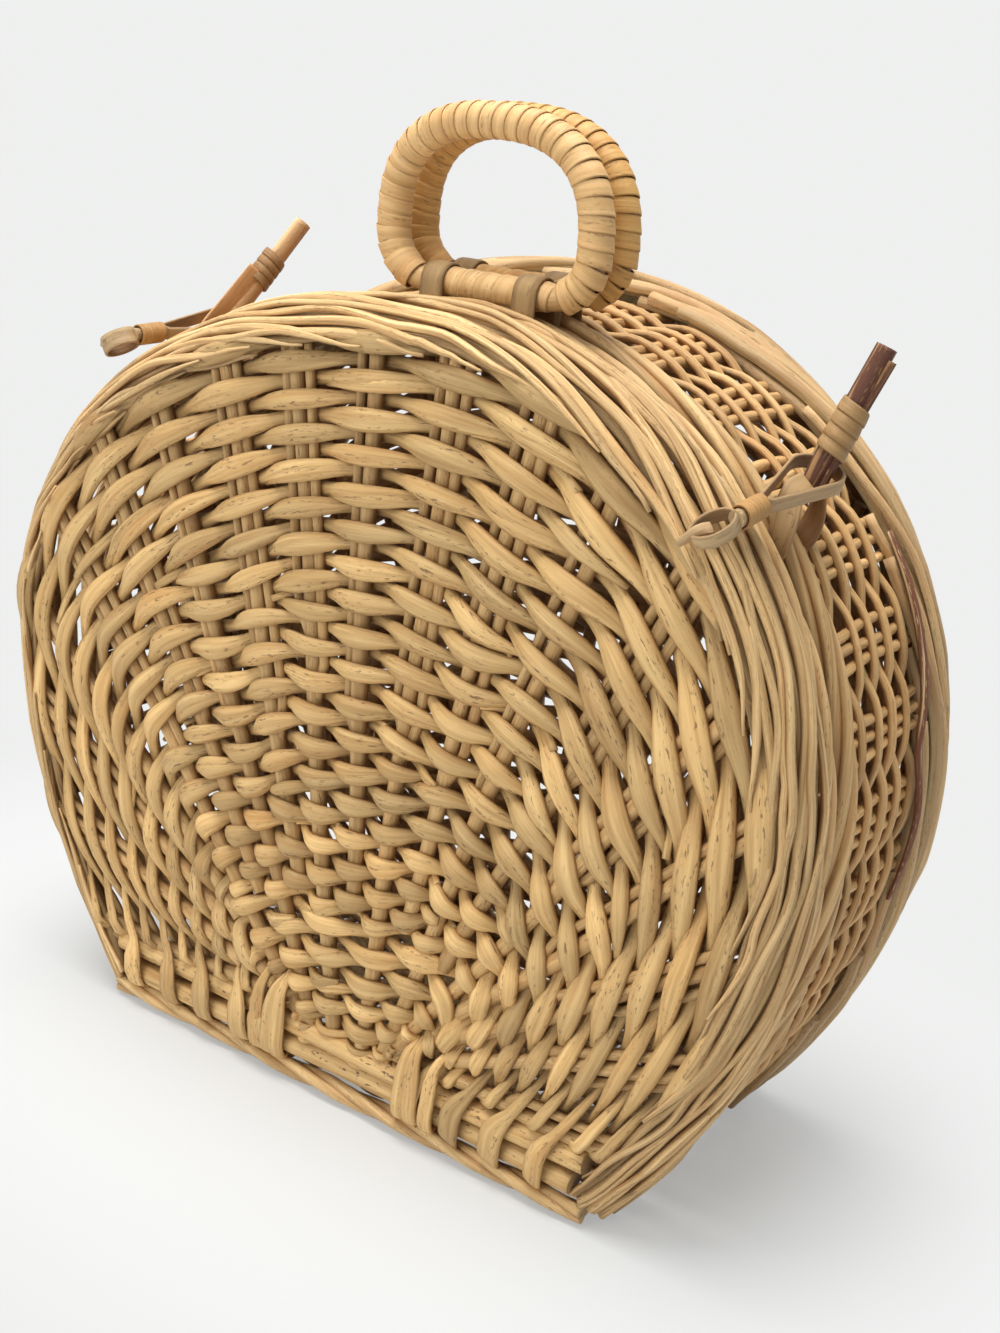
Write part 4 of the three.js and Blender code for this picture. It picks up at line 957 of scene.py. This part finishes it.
def winding(line, turns, width, thick, radius, tone, steps=22, tilt=0.08):
    """Flat strip wound round a line: a helix of the given radius whose strip leans over the turn before."""
    count = turns * steps + 1
    path = through(line, count)
    tangent = unit(np.gradient(path, axis=0))
    reference = TO_BACK if abs(tangent[:, 1]).max() < 0.9 else np.array([1.0, 0, 0])
    first = unit(np.cross(tangent, reference))
    second = np.cross(first, tangent)
    angle = 2 * np.pi * np.arange(count) / steps
    out = first * np.cos(angle)[:, None] + second * np.sin(angle)[:, None]
    uneven = 1 + WRAP_UNEVENNESS * np.sin(angle / WRAP_WAVES[0] + phase()) * np.sin(angle / WRAP_WAVES[1])
    return rod(path + out * radius, out + tilt * tangent, width * uneven, thick, tone, 10, flat=0.5)


for end, side, tones, pale, deep in (
    ("front", -1, (0.62, 0.55), (0.80, 0.52, 0.235, 1), (0.55, 0.325, 0.12, 1)),
    ("rear", 1, (0.55, 0.5), (0.76, 0.45, 0.15, 1), (0.51, 0.27, 0.07, 1)),
):
    depth = side * RIM_DEPTH
    cane = willow(f"{end}_handle_cane", pale, deep, specks=0.55, relief=0.35)
    line = handle_line(depth, RING_STEPS)
    bar_x = np.linspace(line[-1, 0], line[0, 0], BAR_STEPS)
    bar = np.stack([bar_x, line[:BAR_STEPS, 1], np.full(BAR_STEPS, HANDLE_Z)], -1)
    ring = np.vstack([line, bar[1:-1]])
    core = rod(ring, (0, side, 0), ROD_RADIUS, ROD_RADIUS, tone=0.4, sides=14, closed=True)
    woven(f"{end}_handle_rod", [core], cane, f"{end}_handle", [f"{end}_handle_core"])
    arch = handle_line(depth, ARCH_WRAP_STEPS)[ARCH_WRAP_START:-ARCH_WRAP_START]
    wraps = [winding(arch, tone=tones[0], **ARCH_WRAP), winding(bar, tone=tones[1], **BAR_WRAP)]
    woven(f"{end}_handle_cane", wraps, cane, f"{end}_handle", [f"{end}_handle_wrap"])

# Handle ties: broad strips of olive-brown bark, two to a handle, bound round the handle's bar and the rim
# border. The bar turns inside them, so the handle can lie down.
TIE_PLACES = {"left": 0.015, "right": 0.049}
TIE_BAR_RADIUS = 0.0053
TIE_RIM_RADIUS = 0.0061
TIE_WIDTH = 0.0042
TIE_THICKNESS = 0.00055
tie_bark = willow("tie_bark", (0.44, 0.28, 0.115, 1), (0.26, 0.155, 0.06, 1), specks=0.5, relief=0.7)
for half, side, body in (("lid", -1, "lid"), ("body", 1, "basket_body")):
    depth = side * RIM_DEPTH
    for name, x in TIE_PLACES.items():
        reach = HALF_WIDTH - APEX_X if x > APEX_X else HALF_WIDTH + APEX_X
        rim = WIDEST_HEIGHT + CROWN_RISE * np.sqrt(1 - ((x - APEX_X) / reach) ** 2) - RIM_SINK
        outline = link((depth, HANDLE_Z), TIE_BAR_RADIUS, (depth, rim), TIE_RIM_RADIUS, 22)
        tie = strip_link(outline, TIE_WIDTH, TIE_THICKNESS, np.array([x, SEAM, 0]), ACROSS_X, tone=0.5)
        woven(f"{half}_handle_tie_{name}", [tie], tie_bark, body)

# Toggles: short willow sticks tied upright to the rear half, which the hasps hook over. The right one is in
# its bark, the left one is peeled, and each is shaved to a ribbon at its foot, which goes round the rim
# border.
CLOSURES = {
    "right": {"place": (0.133513, SEAM, 0.230888), "out": (0.77831, 0, 0.62788), "lean": (0.31, 0.78, -0.54),
              "shift": 0.0, "start": 0.0165, "length": 0.060, "binding": 0.034, "bound": 0.0076,
              "crossing": 0.020, "radius": 0.0032, "second_radius": 0.0015,
              "second": ((0.017, -0.0034), (0.034, -0.0030), (0.057, -0.0033)),
              "ribbon": ((0.0090, 0.0100, -0.0098), (0.0035, 0.0085, -0.0092), (0.0006, 0.0058, -0.0060),
                         (-0.0010, 0.0020, -0.0015), (-0.0008, -0.0025, 0.0020), (0.0015, -0.0078, 0.0034),
                         (0.0070, -0.0106, 0.0030), (0.0125, -0.0066, 0.0030), (0.0138, -0.0010, 0.0025),
                         (0.0150, 0.0045, -0.0012), (0.0148, 0.0098, -0.0066)),
              "ribbon_tone": 0.6,
              "eye": (-0.0285, -0.0055, -0.0075), "ring_long": (-0.42, -0.91, -0.10),
              "ring_normal": (-0.65, 0.30, -0.70), "ring_half": (0.0066, 0.0046), "ring_strip": 0.0023,
              "tail": 0.0042},
    "left": {"place": (-0.112537, SEAM, 0.237692), "out": (-0.61147, 0, 0.79126), "lean": (0.58, 0.46, 0.67),
             "shift": -0.0027, "start": 0.014, "length": 0.074, "binding": 0.052, "bound": 0.0058,
             "crossing": 0.028, "radius": 0.0032, "second_radius": 0.0021,
             "second": ((0.030, 0.0022), (0.046, 0.0012), (0.058, 0.0010)),
             "ribbon": ((0.0322, 0.0200, 0.0328), (0.0225, 0.0127, 0.0208), (0.0140, 0.0074, 0.0096),
                        (0.0076, 0.0036, 0.0012), (0.0018, 0.0010, -0.0025), (-0.0004, -0.0030, -0.0030),
                        (0.0014, -0.0080, -0.0027), (0.0070, -0.0108, -0.0027), (0.0126, -0.0070, -0.0010),
                        (0.0138, -0.0010, 0.0020), (0.0150, 0.0020, 0.0066)),
             "ribbon_tone": 0.95,
             "eye": (-0.021, -0.0033, 0.0153), "ring_long": (-0.55, 0.10, -0.83),
             "ring_normal": (0.10, 1.0, 0.05), "ring_half": (0.0058, 0.0044), "ring_strip": 0.0030,
             "tail": 0.0004},
}
TOGGLE_BARK = {"right": 1.0, "left": 0.0}
TOGGLE_STEPS = 40
BINDING = {"turns": 4, "thick": 0.00045, "tone": 0.55, "tilt": 0.1}
BINDING_WIDTH_SHARE = 3.7
BINDING_LIFT = 0.0011
BINDING_SHIFT = 0.0007
RIBBON_WIDTH = 0.0041
RIBBON_THICKNESS = 0.0006
RIBBON_FACING = (1, 1, 0.15)
RIBBON_STEPS = 64


def closure_axes(closure):
    """A closure's own axes: to the back, outward from the rim, and along the rim."""
    out = np.array(closure["out"])
    return np.array([TO_BACK, out, np.cross(TO_BACK, out)])


def in_closure(closure, points):
    """Points given along a closure's own axes, in the basket's frame."""
    return np.array(closure["place"]) + np.atleast_2d(np.asarray(points, float)) @ closure_axes(closure)


def toggle_points(closure, distances):
    """Points on the toggle's middle line, by distance from the rim border, along the closure's axes."""
    base = np.array([RIM_DEPTH, -RIM_SINK, closure["shift"]])
    return base + np.outer(distances, unit(np.array(closure["lean"])))


toggle_woods = {
    "right": willow("toggle_bark", (0.52, 0.34, 0.16, 1), (0.36, 0.215, 0.09, 1),
                    bark=(0.105, 0.036, 0.018, 1), specks=0.9),
    "left": willow("toggle_peeled", (0.90, 0.63, 0.34, 1), (0.68, 0.43, 0.20, 1), specks=0.6),
}
binding_canes = {
    "right": willow("binding_tan", (0.44, 0.27, 0.11, 1), (0.29, 0.165, 0.06, 1), specks=0.4),
    "left": willow("binding_brown", (0.36, 0.195, 0.07, 1), (0.22, 0.115, 0.04, 1), specks=0.4),
}
for name, closure in CLOSURES.items():
    axes = closure_axes(closure)
    sideways = unit(np.cross(unit(np.array(closure["lean"])), (1, 0, 0)))
    span = closure["length"] - closure["start"]
    stick = through(toggle_points(closure, closure["start"] + span * np.linspace(0, 1, 4)), TOGGLE_STEPS)
    offsets = np.array(closure["second"])
    second = toggle_points(closure, offsets[:, 0]) + np.outer(offsets[:, 1], sideways)
    second = through(second, TOGGLE_STEPS)
    blunt = 0.86 + 0.14 * ease(np.linspace(0, 4, TOGGLE_STEPS))
    rods = []
    for line, radius in ((stick, closure["radius"]), (second, closure["second_radius"])):
        thick = radius * knobbly(TOGGLE_STEPS) * blunt
        path = in_closure(closure, line)
        rods.append(rod(path, sideways @ axes, thick, thick, sides=14, bark=TOGGLE_BARK[name]))
    ribbon = through(closure["ribbon"], RIBBON_STEPS)
    swell = RIBBON_WIDTH * (0.82 + 0.18 * np.sin(np.linspace(0, np.pi, RIBBON_STEPS)))
    facing = (ribbon - ribbon.mean(0)) * np.array(RIBBON_FACING) @ axes
    path = in_closure(closure, ribbon)
    rods.append(rod(path, facing, swell, RIBBON_THICKNESS, closure["ribbon_tone"], 12, flat=0.5))
    woven(f"{name}_toggle_stick", rods, toggle_woods[name], f"{name}_toggle")
    middle, half = closure["binding"], closure["bound"]
    line = toggle_points(closure, np.linspace(middle - half, middle + half, 12))
    line = in_closure(closure, line + sideways * np.sign(offsets[1, 1]) * BINDING_SHIFT)
    around = closure["radius"] + BINDING_LIFT
    bound = winding(line, width=half / BINDING_WIDTH_SHARE, radius=around, **BINDING)
    woven(f"{name}_toggle_binding", [bound], binding_canes[name], f"{name}_toggle")

# Hasps: a strip of grey-tan willow skein doubled into a long loop. Its eye goes through the edge of the lid,
# its neck is bound with orange cane, and the loop is slipped over the toggle.
SKEIN_THICKNESS = 0.0006
HASP_STUB = (0.0019, 0.0115, 0.0)
HASP_NECK = 0.011
HASP_NECK_SECTION = (0.0027, 0.0024)
HASP_NECK_ENDS = (-0.002, 0.0005)
HASP_NECK_WRAP = {"turns": 6, "width": 0.00105, "thick": 0.0004, "radius": 0.0032, "tone": 0.55, "tilt": 0.05}
HASP_NECK_WRAP_INSET = 0.0002
HASP_WIDTH = 0.0023
HASP_LOOP_START = 0.0030
HASP_LOOP_RADII = (0.0020, 0.0078)
EYE_SETBACK = 0.001
EYE_STEPS = 44
TAIL_TURNS = ((0, 0.35, 1.0), (0, 0.8, 0.6), (0.2, 1.0, 0.2))
TAIL_WIDTHS = (0.0021, 0.0011)
TAIL_STEPS = 16
hasp_skein = willow("hasp_skein", (0.56, 0.39, 0.20, 1), (0.36, 0.235, 0.115, 1), specks=0.6)
neck_cane = willow("neck_cane", (0.57, 0.32, 0.11, 1), (0.38, 0.2, 0.06, 1), specks=0.4)
for name, closure in CLOSURES.items():
    axes = closure_axes(closure)
    stub = np.array(closure["eye"]) + np.array(HASP_STUB)
    crossing = toggle_points(closure, [closure["crossing"]])[0]
    along = unit(crossing - stub)
    ring_long = unit(np.array(closure["ring_long"]))
    normal = np.array(closure["ring_normal"])
    normal = unit(normal - normal.dot(ring_long) * ring_long)
    ring_axes = np.array([ring_long, np.cross(normal, ring_long), normal])
    half_long, half_short = closure["ring_half"]
    middle = stub - along * EYE_SETBACK + ring_long * half_long
    turn = np.linspace(0, 2 * np.pi, EYE_STEPS, endpoint=False)
    outline = np.stack([half_long * np.cos(turn), half_short * np.sin(turn)], -1)
    place = in_closure(closure, middle)[0]
    eye = strip_link(outline, closure["ring_strip"], SKEIN_THICKNESS, place, ring_axes @ axes, tone=0.5)
    neck_run = np.linspace(HASP_NECK_ENDS[0], HASP_NECK + HASP_NECK_ENDS[1], 14)
    neck_path = in_closure(closure, stub + np.outer(neck_run, along))
    neck = rod(neck_path, axes[1], *HASP_NECK_SECTION, tone=0.45)
    far = half_long + closure["tail"]
    fold = ((0.1 * half_long, 0, 0.0006), (0.7 * half_long, 0.001, 0.0024), (far, 0.0006, 0.0004))
    path = in_closure(closure, middle + through(fold, TAIL_STEPS) @ ring_axes)
    facing = through(TAIL_TURNS, TAIL_STEPS) @ ring_axes @ axes
    tail = rod(path, facing, np.linspace(*TAIL_WIDTHS, TAIL_STEPS), SKEIN_THICKNESS, tone=0.75)
    woven(f"{name}_hasp_eye", [eye, neck, tail], hasp_skein, f"{name}_hasp")
    wrap_run = np.linspace(HASP_NECK_WRAP_INSET, HASP_NECK - HASP_NECK_WRAP_INSET, 12)
    line = in_closure(closure, stub + np.outer(wrap_run, along))
    bound = winding(line, **HASP_NECK_WRAP)
    woven(f"{name}_hasp_binding", [bound], neck_cane, f"{name}_hasp")
    stick = unit(np.array(closure["lean"]))
    upright = unit(stick - stick.dot(along) * along)
    plane = np.array([along, np.cross(upright, along), upright])
    start, reach = HASP_NECK + HASP_LOOP_START, np.linalg.norm(crossing - stub)
    outline = link((start, 0), HASP_LOOP_RADII[0], (reach, 0), HASP_LOOP_RADII[1], 26)
    place = in_closure(closure, stub)[0]
    loop = strip_link(outline, HASP_WIDTH, SKEIN_THICKNESS, place, plane @ axes, tone=0.6)
    woven(f"{name}_hasp_loop", [loop], hasp_skein, f"{name}_hasp")

# Floor of the studio: a pale sheet that the basket stands on, which fades into the plain background far away.
# It turns clear to the eye above anything that passes below it, so that an opened lid still shows.
PALE = (0.86, 0.87, 0.86, 1)
PAPER = (0.63, 0.635, 0.63, 1)
FLOOR_HEIGHT = -0.0006
FLOOR_RINGS = np.array([0.0001, 0.2, 0.5, 1.0, 2.0, 4.0, 9.0])
FLOOR_SIDES = 96
FADE_OVAL = (1, 1.6, 1)
FADE_REACH = (0.13, 0.34)
FADE_LEAST = 0.38
CLEAR_DEPTH = 0.4
CLEAR_SAMPLES = 40
CLEAR_SHARES = (0.965, 0.995)
CLEAR_REACH = 0.8
turn = np.linspace(0, 2 * np.pi, FLOOR_SIDES, endpoint=False)
grid = np.arange(len(FLOOR_RINGS) * FLOOR_SIDES).reshape(-1, FLOOR_SIDES)
level = np.full(grid.shape, FLOOR_HEIGHT)
disc = np.stack([np.outer(FLOOR_RINGS, np.cos(turn)), np.outer(FLOOR_RINGS, np.sin(turn)), level], -1)
beside = np.roll(grid, -1, axis=1)
squares = np.stack([grid[:-1], grid[1:], beside[1:], beside[:-1]], -1).reshape(-1, 4)
sheet = bpy.data.meshes.new("studio_floor")
sheet.from_pydata(disc.reshape(-1, 3).tolist(), [], squares.tolist())
paper = bpy.data.materials.new("studio_paper")
paper.use_nodes = True
tree = paper.node_tree
shader = tree.nodes["Principled BSDF"]
shader.inputs["Base Color"].default_value = PAPER
shader.inputs["Roughness"].default_value = 0.9
shader.inputs["Specular IOR Level"].default_value = 0.1
spot = wire(tree, "ShaderNodeTexCoord").outputs["Object"]
oval = wire(tree, "ShaderNodeVectorMath", {0: spot, 1: FADE_OVAL}, operation="MULTIPLY").outputs[0]
far = wire(tree, "ShaderNodeVectorMath", {0: oval}, operation="LENGTH").outputs["Value"]


def seen_rays(tree):
    """1 for the rays that show the background itself: seen straight, in a gloss, or through glass."""
    path = wire(tree, "ShaderNodeLightPath").outputs
    mirrored = sums(tree, "MAXIMUM", path["Is Glossy Ray"], path["Is Transmission Ray"])
    return sums(tree, "MAXIMUM", path["Is Camera Ray"], mirrored)


glow = wire(tree, "ShaderNodeEmission", {"Color": PALE, "Strength": 1.0})
fade = sums(tree, "MULTIPLY", ranged(tree, far, *FADE_REACH, FADE_LEAST, 1), seen_rays(tree))
mixed = wire(tree, "ShaderNodeMixShader", {0: fade, 1: shader.outputs[0], 2: glow.outputs[0]})
downward = {"Distance": CLEAR_DEPTH}
below = wire(tree, "ShaderNodeAmbientOcclusion", downward, inside=True, samples=CLEAR_SAMPLES)
opening = ranged(tree, below.outputs["AO"], *CLEAR_SHARES, 1, 0)
clear = wire(tree, "ShaderNodeBsdfTransparent")
opened = wire(tree, "ShaderNodeMixShader", {0: opening, 1: mixed.outputs[0], 2: clear.outputs[0]})
seen = wire(tree, "ShaderNodeLightPath").outputs["Is Camera Ray"]
near = sums(tree, "MULTIPLY", seen, sums(tree, "LESS_THAN", far, CLEAR_REACH))
surface = wire(tree, "ShaderNodeMixShader", {0: near, 1: mixed.outputs[0], 2: opened.outputs[0]})
tree.links.new(surface.outputs[0], tree.nodes["Material Output"].inputs["Surface"])
sheet.materials.append(paper)
floor = bpy.data.objects.new("studio_floor", sheet)
bpy.context.scene.collection.objects.link(floor)
floor.visible_shadow = False

# Studio light: a pale room that lights the basket only from above, one large soft lamp overhead, and a weak
# one in front. What is seen of the room is the plain background.
ROOM_STRENGTH = 0.43
ROOM_COLOUR = (0.95, 0.97, 1.0, 1)
ROOM_EDGE = (-0.04, 0.0)
LAMP_AIM = (0, 0, 0.15)
world = bpy.data.worlds.new("studio_room")
bpy.context.scene.world = world
world.use_nodes = True
tree = world.node_tree
room = tree.nodes["Background"]
room.inputs["Color"].default_value = ROOM_COLOUR
way = wire(tree, "ShaderNodeTexCoord").outputs["Generated"]
upward = wire(tree, "ShaderNodeSeparateXYZ", {0: way}).outputs[2]
tree.links.new(ranged(tree, upward, *ROOM_EDGE, 0, ROOM_STRENGTH), room.inputs["Strength"])
backdrop = wire(tree, "ShaderNodeBackground", {"Color": PALE, "Strength": 1.0})
mixed = wire(tree, "ShaderNodeMixShader", {0: seen_rays(tree), 1: room.outputs[0], 2: backdrop.outputs[0]})
tree.links.new(mixed.outputs[0], tree.nodes["World Output"].inputs["Surface"])


def placed(name, data, spot, back, right):
    """A lamp or camera at a spot: its Z points back, and its X along what of `right` is square to that."""
    back = unit(np.array(back))
    right = unit(np.array(right) - back * back.dot(right))
    turned = np.stack([right, np.cross(back, right), back], -1)
    holder = bpy.data.objects.new(name, data)
    holder.matrix_world = Matrix.Translation(spot) @ Matrix(turned.tolist()).to_4x4()
    bpy.context.scene.collection.objects.link(holder)
    return holder


for name, spot, size, power in (
    ("key_lamp", (-0.15, -0.12, 2.0), 1.2, 54),
    ("front_lamp", (-0.5, -1.7, 0.9), 1.2, 12),
):
    lamp = bpy.data.lights.new(name, "AREA")
    lamp.size = size
    lamp.energy = power
    back = np.array(spot) - np.array(LAMP_AIM)
    placed(name, lamp, spot, back, np.cross(UP, back))

# Camera: a lens of about 45 mm on a picture 36 mm high.
# Its place and turn are the photograph's, found from the outline of the basket.
CAMERA_PLACE = (0.33154, -0.44749, 0.35197)
CAMERA_RIGHT = (0.808, 0.5855, 0.0658)
CAMERA_FORWARD = (-0.5335, 0.7744, -0.3401)
camera = bpy.data.cameras.new("camera")
camera.sensor_fit = "VERTICAL"
camera.sensor_height = 36.0
camera.lens = 45.65
camera.clip_start = 0.01
bpy.context.scene.camera = placed("camera", camera, CAMERA_PLACE, -np.array(CAMERA_FORWARD), CAMERA_RIGHT)
bpy.context.scene.view_settings.view_transform = "Standard"
